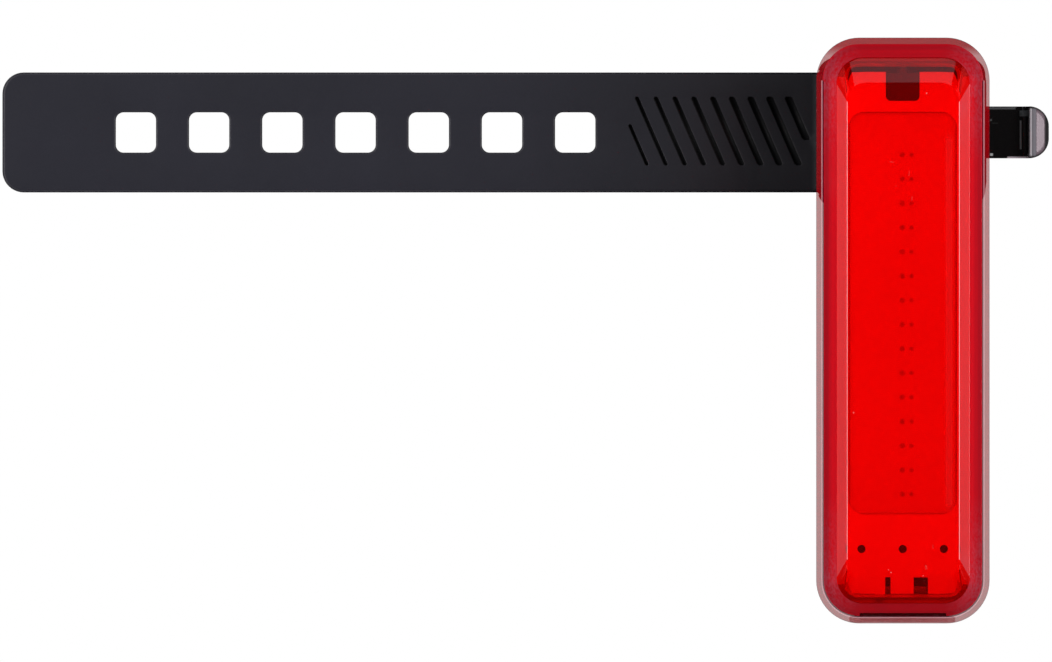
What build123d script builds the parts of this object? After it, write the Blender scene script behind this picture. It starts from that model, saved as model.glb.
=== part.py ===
from build123d import *
import math
import os

# A rear bike light that straps to a seat post. Lengths are in millimetres.
# X runs across the light, Z runs up its length, and the lens looks along -Y.
# The origin is on the post's axis, level with the strap.
# A depth is measured forwards from the post's axis: the depth d lies at y = -d.
# Heights are measured from the middle of the lens, and every piece is lowered by strap_level
# when it is written.

# Seat post and saddle
post_radius = 12.0
pad_thickness = 1.6
pad_side_gap = 0.05
pad_end_gap = 0.3
pad_half_angle = 60.0
saddle_floor = 2.9
saddle_side_gap = 0.3
saddle_ear = 1.5
saddle_corner = 1.4
saddle_view_corner = 2.2
pad_view_corner = 2.8
horn_reach = 6.2
horn_round = 0.6

# Lens
lens_width = 21.0
lens_length = 71.0
lens_corner = 5.2
rim_width = 1.0
rim_thickness = 1.0
rim_edge = 0.25
steep_inset = 1.45
steep_rise = 2.6
shallow_side = 1.35
shallow_end = 3.05
shallow_rise = 0.9
base_corner = 4.2
flat_corner = 2.1
lens_wall = 1.2
lens_side_wall = 2.3
lens_end_wall = 2.15
lens_pocket_chamfer = 1.2
lens_pocket_draft = 0.2
skirt_height = 1.3
skirt_wall = 0.9
skirt_gap = 0.1

# Rear housing
housing_inset = 1.05
housing_corner = 4.15
housing_depth = 10.4
housing_wall = 1.3
housing_floor = 1.4
housing_draft = 2.0
housing_back_edge = 2.4
cavity_edge = 0.8
back_steps = 3
board_rib_thickness = 1.2
board_rib_inset = 4.0
board_rib_hold = 0.7
gasket_thickness = 0.4
gasket_width = 0.8

# Circuit boards, lamps and tray
foam_thickness = 0.5
foam_inset = 0.6
battery_side_room = 1.65
battery_thickness = 4.5
battery_edge = 0.6
battery_foot_gap = 4.5
battery_head_gap = 1.6
board_gap = 0.2
board_thickness = 0.8
board_side_gap = 0.1
board_end_gap = 0.55
tray_side_room = 0.75
tray_end_room = 1.3
tray_chamfer = 1.2
tray_thickness = 2.0
tray_level = -0.25
tray_gap = 0.1
window_side = 0.9
window_head = 5.1
window_heel = 9.8
window_corner = 1.8
window_ledge = 0.3
apron_length = 3.7
apron_depth = 0.15
apron_corner = 2.5
diffuser_thickness = 0.7
diffuser_drop = 0.2
lamp_board_thickness = 0.6
lamp_count = 15
lamp_row_head = 5.2
lamp_row_heel = 2.44
lamp_width = 2.2
lamp_length = 1.4
lamp_height = 0.5
lamp_row_x = 0.5
pin_count = 4
pin_pitch = 2.0
pin_size = 0.5
pin_proud = 0.4
pin_gap = 1.2
status_spacing = 5.0
status_heel = 5.6
status_hole = 1.0
status_lamp = 1.0
status_height = 0.5
status_pocket = 1.7
status_pocket_depth = 0.6
notch_width = 4.1
notch_length = 3.75
notch_corner = 0.6
narrow_notch_x = -1.8
narrow_notch_width = 0.65
narrow_notch_length = 2.2
wide_notch_x = 2.2
wide_notch_width = 1.75
wide_notch_length = 1.7
tab_x = -2.8
tab_width = 1.15
tab_length = 0.8

# Switch and button
switch_thickness = 2.0
plunger_radius = 0.7
plunger_seat = 1.2
plunger_play = 0.05
button_travel = 0.4
button_width = 7.0
button_thickness = 3.2
button_setback = 1.2
button_proud = 0.2
button_edge = 0.15
button_flange = 0.5
button_flange_thickness = 0.65
button_flange_gap = 0.1
button_gap = 0.2

# Charging socket and its cover
socket_width = 8.94
socket_thickness = 3.26
socket_wall = 0.3
socket_length = 7.3
socket_reach = 0.15
tongue_width = 6.7
tongue_thickness = 0.7
tongue_setback = 0.4
tongue_root = 1.6
socket_opening_gap = 0.3
cover_half_width = 6.4
cover_thickness = 0.75
cover_corner = 1.2
cover_reach = 7.3
cover_plug_gap = 0.35
cover_plug_height = 0.9
cover_plug_edge = 0.2
cover_rim_clearance = 0.08
hinge_setback = 1.7
hinge_radius = 0.65
hinge_half_length = 4.4
trunnion_radius = 0.4
trunnion_gap = 0.05
lug_radius = 0.75
lug_thickness = 1.2
lug_gap = 0.2

# Strap, its pin and its hook
strap_drop = 11.4
strap_width = 14.6
strap_thickness = 2.0
strap_reach = 109.4
strap_end_corner = 2.6
strap_edge = 0.3
strap_blend = 2.0
eye_radius = 2.2
eye_clearance = 0.35
strap_pin_radius = 1.0
strap_pin_gap = 0.05
strap_gap = 0.3
pin_head_inset = 0.6
hole_count = 7
hole_pitch = 8.91
hole_nearest = 39.7
hole_size = 4.9
hole_corner = 0.9
groove_count = 10
groove_pitch = 2.306
groove_nearest = 11.91
groove_margin = 0.4
groove_width = 0.6
groove_depth = 0.4
groove_slant = 23.6
groove_side_margin = 3.2
hook_width = 6.3
hook_reach = 17.9
hook_root = 4.2
hook_plate = 1.9
hook_setback = 0.3
hook_lip_width = 2.4
hook_lip_height = 1.8
hook_lip_top = 0.5
hook_lip_round = 0.3
hook_tip_corner = 2.4
hook_throat = 0.9
hook_round = 0.8

# Screws
bracket_screw_spacing = 12.0
bracket_screw_radius = 1.0
bracket_head_radius = 1.9
bracket_head_height = 1.2
bracket_boss_wall = 1.0
bracket_boss_height = 2.6
bracket_screw_cover = 0.6
screw_fit = 0.02

# Small parts on the main board
charger_width = 5.0
charger_length = 4.4
charger_x = -1.5
driver_width = 3.0
driver_length = 1.6
driver_x = 4.6
chip_height = 1.0
chip_gap = 2.1
part_count = 6
part_pitch = 2.0
part_width = 1.0
part_length = 0.6
part_height = 0.5
part_gap = 2.4
tab_strip_x = 3.5
tab_strip_width = 2.0
tab_strip_thickness = 0.2
tab_strip_reach = 2.6

# Depths that follow, from the post forwards
pad_radius = post_radius + pad_thickness
back_depth = pad_radius + saddle_floor
horn_depth = back_depth - horn_reach
rim_depth = back_depth + housing_depth
flange_back = rim_depth + gasket_thickness
flange_front = flange_back + rim_thickness
middle_depth = flange_front + steep_rise
lens_front = middle_depth + shallow_rise
skirt_back = flange_back - skirt_height
cavity_depth = back_depth + housing_floor
battery_back = cavity_depth + foam_thickness
board_back = battery_back + battery_thickness + board_gap
board_front = board_back + board_thickness
tray_back = board_front + tray_gap
tray_front = skirt_back
lamp_board_front = board_front + lamp_board_thickness
lamp_front = lamp_board_front + lamp_height
diffuser_front = tray_front - diffuser_drop
diffuser_back = diffuser_front - diffuser_thickness
pin_depth = back_depth - strap_gap - eye_radius
hinge_depth = back_depth + hinge_setback
plunger_depth = board_front + switch_thickness / 2
button_depth = plunger_depth - button_setback
socket_depth = board_back - socket_thickness / 2
bracket_head_end = pad_radius + bracket_head_height
bracket_boss_end = cavity_depth + bracket_boss_height
bracket_screw_end = bracket_boss_end - bracket_screw_cover
hook_plate_front = back_depth - hook_setback
hook_lip_front = hook_plate_front + hook_lip_height

# Widths and lengths that follow
base_width = lens_width - 2 * rim_width
base_length = lens_length - 2 * rim_width
middle_width = base_width - 2 * steep_inset
middle_length = base_length - 2 * steep_inset
middle_corner = base_corner - steep_inset
flat_width = middle_width - 2 * shallow_side
flat_length = middle_length - 2 * shallow_end
housing_width = lens_width - 2 * housing_inset
housing_length = lens_length - 2 * housing_inset
cavity_width = housing_width - 2 * housing_wall
cavity_length = housing_length - 2 * housing_wall
cavity_corner = housing_corner - housing_wall
skirt_width = cavity_width - 2 * skirt_gap
skirt_length = cavity_length - 2 * skirt_gap
skirt_corner = cavity_corner - skirt_gap
tray_width = cavity_width - 2 * tray_side_room
tray_length = cavity_length - 2 * tray_end_room
board_width = tray_width - 2 * board_side_gap
board_length = tray_length - 2 * board_end_gap
window_width = tray_width - 2 * window_side
window_length = tray_length - window_head - window_heel
lamp_pitch = (window_length - lamp_row_head - lamp_row_heel) / (lamp_count - 1)
battery_width = cavity_width - 2 * battery_side_room
saddle_half_width = lens_width / 2 - saddle_side_gap
saddle_height = strap_width + 2 * strap_gap + 2 * saddle_ear
pad_half_width = lens_width / 2 - pad_side_gap
pin_x = math.sqrt((pad_radius + eye_clearance + eye_radius) ** 2 - pin_depth ** 2)
groove_field_inner = groove_nearest - groove_margin
groove_field_outer = groove_nearest + (groove_count - 1) * groove_pitch + groove_margin
bracket_boss_radius = bracket_screw_radius + bracket_boss_wall
board_rib_width = (cavity_width - board_width) / 2 + 2 * board_rib_hold

# Heights that follow, from the middle of the lens
strap_level = lens_length / 2 - strap_drop
lower_boss = strap_level - bracket_screw_spacing / 2
tray_top = tray_level + tray_length / 2
tray_foot = tray_level - tray_length / 2
window_foot = tray_foot + window_heel
window_level = window_foot + window_length / 2
lamp_row_level = window_level + (lamp_row_heel - lamp_row_head) / 2
board_top = tray_level + board_length / 2
board_foot = tray_level - board_length / 2
switch_top = tray_top - tray_gap
plunger_bottom = switch_top - plunger_seat
status_level = tray_foot + status_heel
socket_mouth = -cavity_length / 2 - socket_reach
socket_top = socket_mouth + socket_length
battery_foot = socket_top + battery_foot_gap
battery_top = lower_boss - bracket_boss_radius - battery_head_gap
battery_length = battery_top - battery_foot
battery_level = (battery_top + battery_foot) / 2
chip_level = battery_top + tab_strip_reach + chip_gap + charger_length / 2
pin_level = chip_level + charger_length / 2 + pin_gap
part_level = pin_level + part_gap
hinge_level = -(lens_length / 2 - lug_radius)
cover_face = -(lens_length / 2 - cover_rim_clearance) + cover_thickness
draft_slope = math.tan(math.radians(housing_draft))


def facing(depth, x=0, z=0):
    """The plane at a depth that looks along the light, with X across and Z up."""
    return Plane(origin=(x, -depth, z), x_dir=(1, 0, 0), z_dir=(0, -1, 0))


def level(z, x=0, depth=0):
    """The horizontal plane at a height."""
    return Plane(origin=(x, -depth, z))


def slab(width, length, corner, near, far, x=0, z=0):
    """A plate with rounded corners between two depths."""
    outline = RectangleRounded(width, length, corner)
    return extrude(facing(near, x, z) * outline, far - near)


def block(width, length, near, far, x=0, z=0):
    """A square-cornered plate between two depths."""
    return extrude(facing(near, x, z) * Rectangle(width, length), far - near)


def rod(radius, near, far, x=0, z=0):
    """A round bar along the depth."""
    return extrude(facing(near, x, z) * Circle(radius), far - near)


def upright(radius, low, high, x=0, depth=0):
    """A round bar along Z."""
    return extrude(level(low, x, depth) * Circle(radius), high - low)


def crossbar(radius, left, right, depth, z):
    """A round bar along X."""
    start = Plane(origin=(left, -depth, z), x_dir=(0, 1, 0), z_dir=(1, 0, 0))
    return extrude(start * Circle(radius), right - left)


def tapering(sections, z=0):
    """Straight-sided walls through rounded rectangles, each given as depth, width, length and corner."""
    outlines = []
    for depth, width, length, corner in sections:
        outline = facing(depth, 0, z) * RectangleRounded(width, length, corner)
        outlines.append(outline.face())
    return loft(outlines, ruled=True)


def mitred(sections, z=0):
    """Flat-sided walls through rectangles with cut corners, given as depth, width, length and cut."""
    outlines = []
    for depth, width, length, cut in sections:
        corners = Rectangle(width, length).vertices()
        outlines.append((facing(depth, 0, z) * chamfer(corners, cut)).face())
    return loft(outlines, ruled=True)


def obround(width, thickness, low, high, x=0, depth=0):
    """An upright bar whose section is a long rounded slot."""
    return extrude(level(low, x, depth) * SlotOverall(width, thickness), high - low)


def end_edges(solid, axis, last):
    """The edges round a solid's lowest or highest face along an axis."""
    return solid.faces().sort_by(axis)[-1 if last else 0].edges()


def inward(depth):
    """How far the housing's side has drawn in at a depth, by its draft."""
    return (rim_depth - depth) * draft_slope


def make_lens():
    """Clear red cover: a flat rim, steep and shallow facets, a flat front and a skirt inside."""
    rim = slab(lens_width, lens_length, lens_corner, flange_back, flange_front)
    rim = chamfer(end_edges(rim, Axis.Y, False) + end_edges(rim, Axis.Y, True), rim_edge)
    facets = tapering([
        (flange_front, base_width, base_length, base_corner),
        (middle_depth, middle_width, middle_length, middle_corner),
        (lens_front, flat_width, flat_length, flat_corner),
    ])
    skirt = slab(skirt_width, skirt_length, skirt_corner, skirt_back, flange_back)
    mouth_width = skirt_width - 2 * skirt_wall
    mouth_length = skirt_length - 2 * skirt_wall
    pocket_width = base_width - 2 * lens_side_wall - 2 * lens_pocket_draft
    pocket_length = base_length - 2 * lens_end_wall - 2 * lens_pocket_draft
    front_width = flat_width - 2 * lens_wall / 3
    front_length = flat_length - 2 * lens_wall / 6
    pocket = mitred([
        (skirt_back, mouth_width, mouth_length, lens_pocket_chamfer),
        (middle_depth - lens_wall, pocket_width, pocket_length, lens_pocket_chamfer),
        (lens_front - lens_wall, front_width, front_length, lens_pocket_chamfer),
    ])
    return rim + facets + skirt - pocket


def make_gasket():
    """Flat seal between the housing's edge and the lens rim."""
    inner_width = skirt_width + 2 * skirt_gap
    inner_length = skirt_length + 2 * skirt_gap
    inner_corner = skirt_corner + skirt_gap
    outer = slab(
        inner_width + 2 * gasket_width,
        inner_length + 2 * gasket_width,
        inner_corner + gasket_width,
        rim_depth,
        flange_back,
    )
    return outer - slab(inner_width, inner_length, inner_corner, rim_depth, flange_back)


def bracket_screw_heights():
    """Heights of the two screws that hold the saddle."""
    return [lower_boss, lower_boss + bracket_screw_spacing]


def board_rib_places():
    """The four ribs that the main board rests on, as pairs of x and height."""
    side = (board_width + cavity_width) / 4
    heights = (board_foot + board_rib_inset, board_top - board_rib_inset)
    return [(x, height) for x in (-side, side) for height in heights]


def make_cover_lug(side):
    """One ear that carries the socket cover, grown out of the housing's foot."""
    inner = side * (hinge_half_length + lug_gap)
    outer = inner + side * lug_thickness
    left = min(inner, outer)
    right = max(inner, outer)
    ear = crossbar(lug_radius, left, right, hinge_depth, hinge_level)
    root_top = -(housing_length - housing_wall) / 2
    root_level = (root_top + hinge_level) / 2
    root_height = root_top - hinge_level
    root = Pos((left + right) / 2, -hinge_depth, root_level) * Box(lug_thickness, 2 * lug_radius, root_height)
    return ear + root


def make_housing():
    """Black tub: drafted walls, a rounded back, ribs for its board and bosses for the saddle."""
    sections = [(rim_depth, housing_width, housing_length, housing_corner)]
    for step in range(back_steps + 1):
        angle = math.radians(90 * step / back_steps)
        inset = inward(back_depth + housing_back_edge) + housing_back_edge * (1 - math.cos(angle))
        depth = back_depth + housing_back_edge * (1 - math.sin(angle))
        width = housing_width - 2 * inset
        length = housing_length - 2 * inset
        sections.append((depth, width, length, housing_corner - inset))
    outer = tapering(sections)
    edge_depth = cavity_depth + cavity_edge
    drawn = inward(edge_depth)
    floor_inset = drawn + cavity_edge
    cavity = tapering([
        (rim_depth, cavity_width, cavity_length, cavity_corner),
        (edge_depth, cavity_width - 2 * drawn, cavity_length - 2 * drawn, cavity_corner - drawn),
        (
            cavity_depth,
            cavity_width - 2 * floor_inset,
            cavity_length - 2 * floor_inset,
            cavity_corner - floor_inset,
        ),
    ])
    tub = outer - cavity
    for height in bracket_screw_heights():
        tub += rod(bracket_boss_radius, cavity_depth, bracket_boss_end, 0, height)
    for x, height in board_rib_places():
        tub += block(board_rib_width, board_rib_thickness, cavity_depth, board_back, x, height)
    for side in (-1, 1):
        tub += make_cover_lug(side)
    for height in bracket_screw_heights():
        tub -= rod(bracket_screw_radius + screw_fit, back_depth, bracket_screw_end + screw_fit, 0, height)
    button_hole = obround(
        button_width + 2 * button_gap,
        button_thickness + 2 * button_gap,
        cavity_length / 2 - housing_wall,
        lens_length / 2,
        0,
        button_depth,
    )
    socket_hole = obround(
        socket_width + 2 * socket_opening_gap,
        socket_thickness + 2 * socket_opening_gap,
        -lens_length / 2,
        -cavity_length / 2 + housing_wall,
        0,
        socket_depth,
    )
    trunnion_hole = crossbar(
        trunnion_radius + trunnion_gap,
        -cover_half_width,
        cover_half_width,
        hinge_depth,
        hinge_level,
    )
    knuckle_room = crossbar(
        hinge_radius + lug_gap,
        -hinge_half_length - lug_gap,
        hinge_half_length + lug_gap,
        hinge_depth,
        hinge_level,
    )
    return tub - button_hole - socket_hole - trunnion_hole - knuckle_room


def make_tray():
    """White moulding that frames the lamp window, with notches for the switch and at its foot."""
    outline = Rectangle(tray_width, tray_length)
    outline = chamfer(outline.vertices(), tray_chamfer)
    tray = extrude(facing(tray_back, 0, tray_level) * outline, tray_thickness)
    tab_top = tray_foot + tab_length
    tab = block(tab_width, 2 * tab_length, tray_back, tray_front, tab_x, tab_top - tab_length)
    tray += tab
    tray -= slab(
        window_width - 2 * window_ledge,
        window_length - 2 * window_ledge,
        window_corner - window_ledge,
        tray_back,
        tray_front,
        0,
        window_level,
    )
    tray -= slab(window_width, window_length, window_corner, diffuser_back, tray_front, 0, window_level)
    apron_foot = window_foot - apron_length
    apron_height = apron_length + 2 * apron_corner
    tray -= slab(
        window_width,
        apron_height,
        apron_corner,
        tray_front - apron_depth,
        tray_front,
        0,
        apron_foot + apron_height / 2,
    )
    notch_height = notch_length + notch_corner + tray_chamfer
    notch_level = tray_top - notch_length + notch_height / 2
    tray -= slab(notch_width, notch_height, notch_corner, tray_back, tray_front, 0, notch_level)
    narrow_cut = 2 * narrow_notch_length
    tray -= block(narrow_notch_width, narrow_cut, tray_back, tray_front, narrow_notch_x, tray_foot)
    wide_cut = 2 * wide_notch_length
    tray -= block(wide_notch_width, wide_cut, tray_back, tray_front, wide_notch_x, tray_foot)
    for place in (-1, 0, 1):
        x = place * status_spacing
        tray -= rod(status_hole / 2, tray_back, tray_front, x, status_level)
        pocket_end = tray_back + status_pocket_depth
        tray -= block(status_pocket, status_pocket, tray_back, pocket_end, x, status_level)
    return tray


def pin_places():
    """Where the pins between the two boards stand, across the light."""
    return [(place - (pin_count - 1) / 2) * pin_pitch for place in range(pin_count)]


def make_lamp_board():
    """Narrow board under the lamps, pierced for its pins."""
    width = window_width - 2 * window_ledge - 4 * tray_gap
    length = window_length - 2 * window_ledge - 4 * tray_gap
    outline = Rectangle(width, length)
    outline = chamfer(outline.vertices(), window_ledge)
    board = extrude(facing(board_front, 0, window_level) * outline, lamp_board_thickness)
    hole = pin_size + 2 * screw_fit
    for x in pin_places():
        board -= block(hole, hole, board_front, lamp_board_front, x, pin_level)
    return board


def make_lamps():
    """The row of lamps, each a small flat package."""
    lamps = []
    for place in range(lamp_count):
        height = lamp_row_level + (place - (lamp_count - 1) / 2) * lamp_pitch
        lamps.append(block(lamp_width, lamp_length, lamp_board_front, lamp_front, lamp_row_x, height))
    return lamps


def make_diffuser():
    """Milky sheet that covers the lamps and sits on the tray's ledge."""
    outline = Rectangle(window_width - 2 * tray_gap, window_length - 2 * tray_gap)
    outline = chamfer(outline.vertices(), window_corner / 2)
    return extrude(facing(diffuser_back, 0, window_level) * outline, diffuser_thickness)


def make_lamp_pins():
    """Square pins that join the two boards."""
    near = board_back - pin_proud
    far = lamp_board_front + pin_proud / 2
    return [block(pin_size, pin_size, near, far, x, pin_level) for x in pin_places()]


def make_main_board():
    """Main circuit board, on the housing's four ribs."""
    outline = Rectangle(board_width, board_length)
    outline = chamfer(outline.vertices(), tray_chamfer)
    board = extrude(facing(board_back, 0, tray_level) * outline, board_thickness)
    hole = pin_size + 2 * screw_fit
    for x in pin_places():
        board -= block(hole, hole, board_back, board_front, x, pin_level)
    return board


def make_driver_chips():
    """The charger and the driver, on the back of the main board."""
    near = board_back - chip_height
    charger = block(charger_width, charger_length, near, board_back, charger_x, chip_level)
    driver = block(driver_width, driver_length, near, board_back, driver_x, chip_level)
    return [charger, driver]


def make_chip_parts():
    """A row of small resistors and capacitors on the back of the main board."""
    parts = []
    for place in range(part_count):
        x = (place - (part_count - 1) / 2) * part_pitch
        parts.append(block(part_width, part_length, board_back - part_height, board_back, x, part_level))
    return parts


def make_status_lamps():
    """Three small lamps behind the holes at the tray's foot."""
    lamps = []
    for place in (-1, 0, 1):
        x = place * status_spacing
        lamp_end = board_front + status_height
        lamps.append(block(status_lamp, status_lamp, board_front, lamp_end, x, status_level))
    return lamps


def make_battery():
    """Flat pouch cell with its long edges rolled over."""
    cell = block(
        battery_width,
        battery_length,
        battery_back,
        battery_back + battery_thickness,
        0,
        battery_level,
    )
    return chamfer(cell.edges().filter_by(Axis.Z), battery_edge)


def make_battery_foam():
    """Foam pad behind the cell."""
    width = battery_width - 2 * foam_inset
    length = battery_length - 2 * foam_inset
    return block(width, length, cavity_depth, battery_back, 0, battery_level)


def make_battery_tabs():
    """Two nickel strips that turn up from the cell to the board."""
    tabs = []
    middle = battery_back + battery_thickness / 2
    for side in (-1, 1):
        x = side * tab_strip_x
        reach_middle = battery_top + tab_strip_reach / 2
        flat_end = middle + tab_strip_thickness
        flat = block(tab_strip_width, tab_strip_reach, middle, flat_end, x, reach_middle)
        rise_level = battery_top + tab_strip_reach - tab_strip_thickness / 2
        rise = block(tab_strip_width, tab_strip_thickness, middle, board_back, x, rise_level)
        tabs.append(flat + rise)
    return tabs


def make_switch_body():
    """Side-pressed switch on the main board, bored from above for its plunger."""
    foot = tray_top - notch_length + tray_gap
    height = switch_top - foot
    width = notch_width - 2 * tray_gap
    outline = Rectangle(width, height)
    outline = fillet(outline.vertices().group_by(Axis.Y)[0], notch_corner)
    middle = (switch_top + foot) / 2
    body = extrude(facing(board_front, 0, middle) * outline, switch_thickness)
    bore_foot = plunger_bottom - button_travel - button_gap
    return body - upright(plunger_radius + plunger_play, bore_foot, switch_top, 0, plunger_depth)


def flange_top():
    """Height of the button's flange, under the drafted inside of the housing's top wall."""
    back_of_flange = button_depth - button_thickness / 2 - button_flange
    return cavity_length / 2 - inward(back_of_flange) - button_flange_gap


def make_button_cap():
    """Rubber button: a bevelled head through the top wall, kept in by a flange inside."""
    top = housing_length / 2 - inward(button_depth) + button_proud
    flange_level = flange_top() - button_flange_thickness
    head = obround(button_width, button_thickness, flange_level, top, 0, button_depth)
    head = chamfer(end_edges(head, Axis.Z, True), button_edge)
    flange = obround(
        button_width + 2 * button_flange,
        button_thickness + 2 * button_flange,
        flange_level,
        flange_top(),
        0,
        button_depth,
    )
    return head + flange


def make_switch_plunger():
    """Plunger between the button and the switch."""
    top = flange_top() - button_flange_thickness
    return upright(plunger_radius, plunger_bottom, top, 0, plunger_depth)


def make_socket_shell():
    """Steel shell of the charging socket, open at its mouth."""
    low = socket_mouth
    high = socket_top
    inner_width = socket_width - 2 * socket_wall
    inner_thickness = socket_thickness - 2 * socket_wall
    shell = obround(socket_width, socket_thickness, low, high, 0, socket_depth)
    return shell - obround(inner_width, inner_thickness, low, high - socket_wall, 0, socket_depth)


def make_socket_tongue():
    """Contact tongue and its root inside the shell."""
    low = socket_mouth + tongue_setback
    high = socket_top - socket_wall
    root_width = socket_width - 2 * socket_wall - 2 * screw_fit
    root_thickness = socket_thickness - 2 * socket_wall - 2 * screw_fit
    root = obround(root_width, root_thickness, high - tongue_root, high, 0, socket_depth)
    middle = (low + high) / 2
    tongue = Pos(0, -socket_depth, middle) * Box(tongue_width, tongue_thickness, high - low)
    return root + tongue


def make_socket_cover():
    """Rubber flap that plugs the socket's opening and swings on two stub pins."""
    plate_back = hinge_depth + lug_radius + strap_gap
    plate_front = hinge_depth + cover_reach
    foot = cover_face - cover_thickness
    outline = Rectangle(2 * cover_half_width, plate_front - plate_back)
    outline = fillet(outline.vertices().group_by(Axis.Y)[0], cover_corner)
    middle = (plate_back + plate_front) / 2
    plate = extrude(level(foot, 0, middle) * outline, cover_thickness)
    neck_length = plate_back - hinge_depth + cover_corner
    neck_middle = hinge_depth + neck_length / 2
    neck_level = foot + cover_thickness / 2
    neck = Pos(0, -neck_middle, neck_level) * Box(2 * hinge_half_length, neck_length, cover_thickness)
    knuckle = crossbar(hinge_radius, -hinge_half_length, hinge_half_length, hinge_depth, hinge_level)
    stub_reach = hinge_half_length + lug_gap + lug_thickness
    stubs = crossbar(trunnion_radius, -stub_reach, stub_reach, hinge_depth, hinge_level)
    plug = obround(
        socket_width + 2 * socket_opening_gap - 2 * cover_plug_gap,
        socket_thickness + 2 * socket_opening_gap - 2 * cover_plug_gap,
        cover_face,
        cover_face + cover_plug_height,
        0,
        socket_depth,
    )
    plug = chamfer(end_edges(plug, Axis.Z, True), cover_plug_edge)
    return plate + neck + knuckle + stubs + plug


def make_hook():
    """Hook for the strap's holes: a flat plate whose lip slopes down to its rounded tip."""
    plate_back = hook_plate_front - hook_plate
    root_x = saddle_half_width - hook_root
    lip_x = hook_reach - hook_lip_width
    points = [
        (root_x, -plate_back),
        (hook_reach, -plate_back),
        (hook_reach, -hook_plate_front),
        (lip_x + hook_lip_top, -hook_lip_front),
        (lip_x, -hook_lip_front),
        (lip_x, -hook_plate_front),
        (root_x, -hook_plate_front),
    ]
    profile = make_face(Polyline(*points, close=True))
    corners = profile.vertices()
    throat = [v for v in corners if abs(v.X - lip_x) < screw_fit and abs(v.Y + hook_plate_front) < screw_fit]
    profile = fillet(throat, hook_throat)
    corners = profile.vertices()
    lip = [v for v in corners if v.X > lip_x - screw_fit and abs(v.Y + hook_lip_front) < screw_fit]
    profile = fillet(lip, hook_lip_round)
    corners = profile.vertices()
    heel = [v for v in corners if abs(v.X - hook_reach) < screw_fit and abs(v.Y + plate_back) < screw_fit]
    profile = fillet(heel, hook_round)
    bar = extrude(level(strap_level - hook_width / 2) * profile, hook_width)
    tip_length = 2 * hook_reach
    outline = RectangleRounded(tip_length, hook_width, hook_tip_corner)
    mask = extrude(facing(0, 0, strap_level) * outline, lens_front)
    return bar & mask


def front_view(half_width, height, corner):
    """What lies inside a rounded outline seen from the front, from the post's axis to the lens."""
    outline = RectangleRounded(2 * half_width, height, corner)
    return extrude(facing(0, 0, strap_level) * outline, lens_front)


def make_saddle():
    """Saddle for the seat post, with two ears for the strap's pin and the hook."""
    floor_middle = (back_depth + horn_depth) / 2
    outline = Rectangle(2 * saddle_half_width, back_depth - horn_depth)
    outline = fillet(outline.vertices().group_by(Axis.Y)[0], saddle_corner)
    outline = fillet(outline.vertices().group_by(Axis.Y)[-1], horn_round)
    profile = Pos(0, -floor_middle) * outline - Circle(pad_radius)
    low = strap_level - saddle_height / 2
    saddle = extrude(level(low) * profile, saddle_height)
    saddle &= front_view(saddle_half_width, saddle_height, saddle_view_corner)
    strap_room = strap_width + 2 * strap_gap
    slot_right = -pin_x + eye_radius + strap_gap
    slot_width = saddle_half_width + slot_right + saddle_corner
    slot_middle = slot_right - slot_width / 2
    saddle -= Pos(slot_middle, -floor_middle, strap_level) * Box(slot_width, back_depth, strap_room)
    saddle += make_hook()
    pin_low = low + pin_head_inset
    saddle -= upright(strap_pin_radius + screw_fit, pin_low, low + saddle_height, -pin_x, pin_depth)
    for height in bracket_screw_heights():
        saddle -= rod(bracket_head_radius + screw_fit, 0, bracket_head_end, 0, height)
        saddle -= rod(bracket_screw_radius + screw_fit, bracket_head_end, back_depth, 0, height)
    return saddle


def make_pad():
    """Rubber lining that grips the post."""
    lip_depth = post_radius * math.cos(math.radians(pad_half_angle))
    ring = Circle(pad_radius) - Circle(post_radius)
    frame = Pos(0, -(pad_radius + lip_depth) / 2) * Rectangle(2 * pad_half_width, pad_radius - lip_depth)
    height = saddle_height - 2 * pad_end_gap
    pad = extrude(level(strap_level - height / 2) * (ring & frame), height)
    return pad & front_view(pad_half_width, height, pad_view_corner)


def make_bracket_screws():
    """Two screws through the saddle into the housing."""
    screws = []
    for height in bracket_screw_heights():
        head = rod(bracket_head_radius, pad_radius, bracket_head_end, 0, height)
        screws.append(head + rod(bracket_screw_radius, bracket_head_end, bracket_screw_end, 0, height))
    return screws


def make_strap_pin():
    """Steel pin through the ears and the strap's eye."""
    low = strap_level - saddle_height / 2 + pin_head_inset
    high = strap_level + saddle_height / 2 - pin_head_inset
    return upright(strap_pin_radius, low, high, -pin_x, pin_depth)


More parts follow.
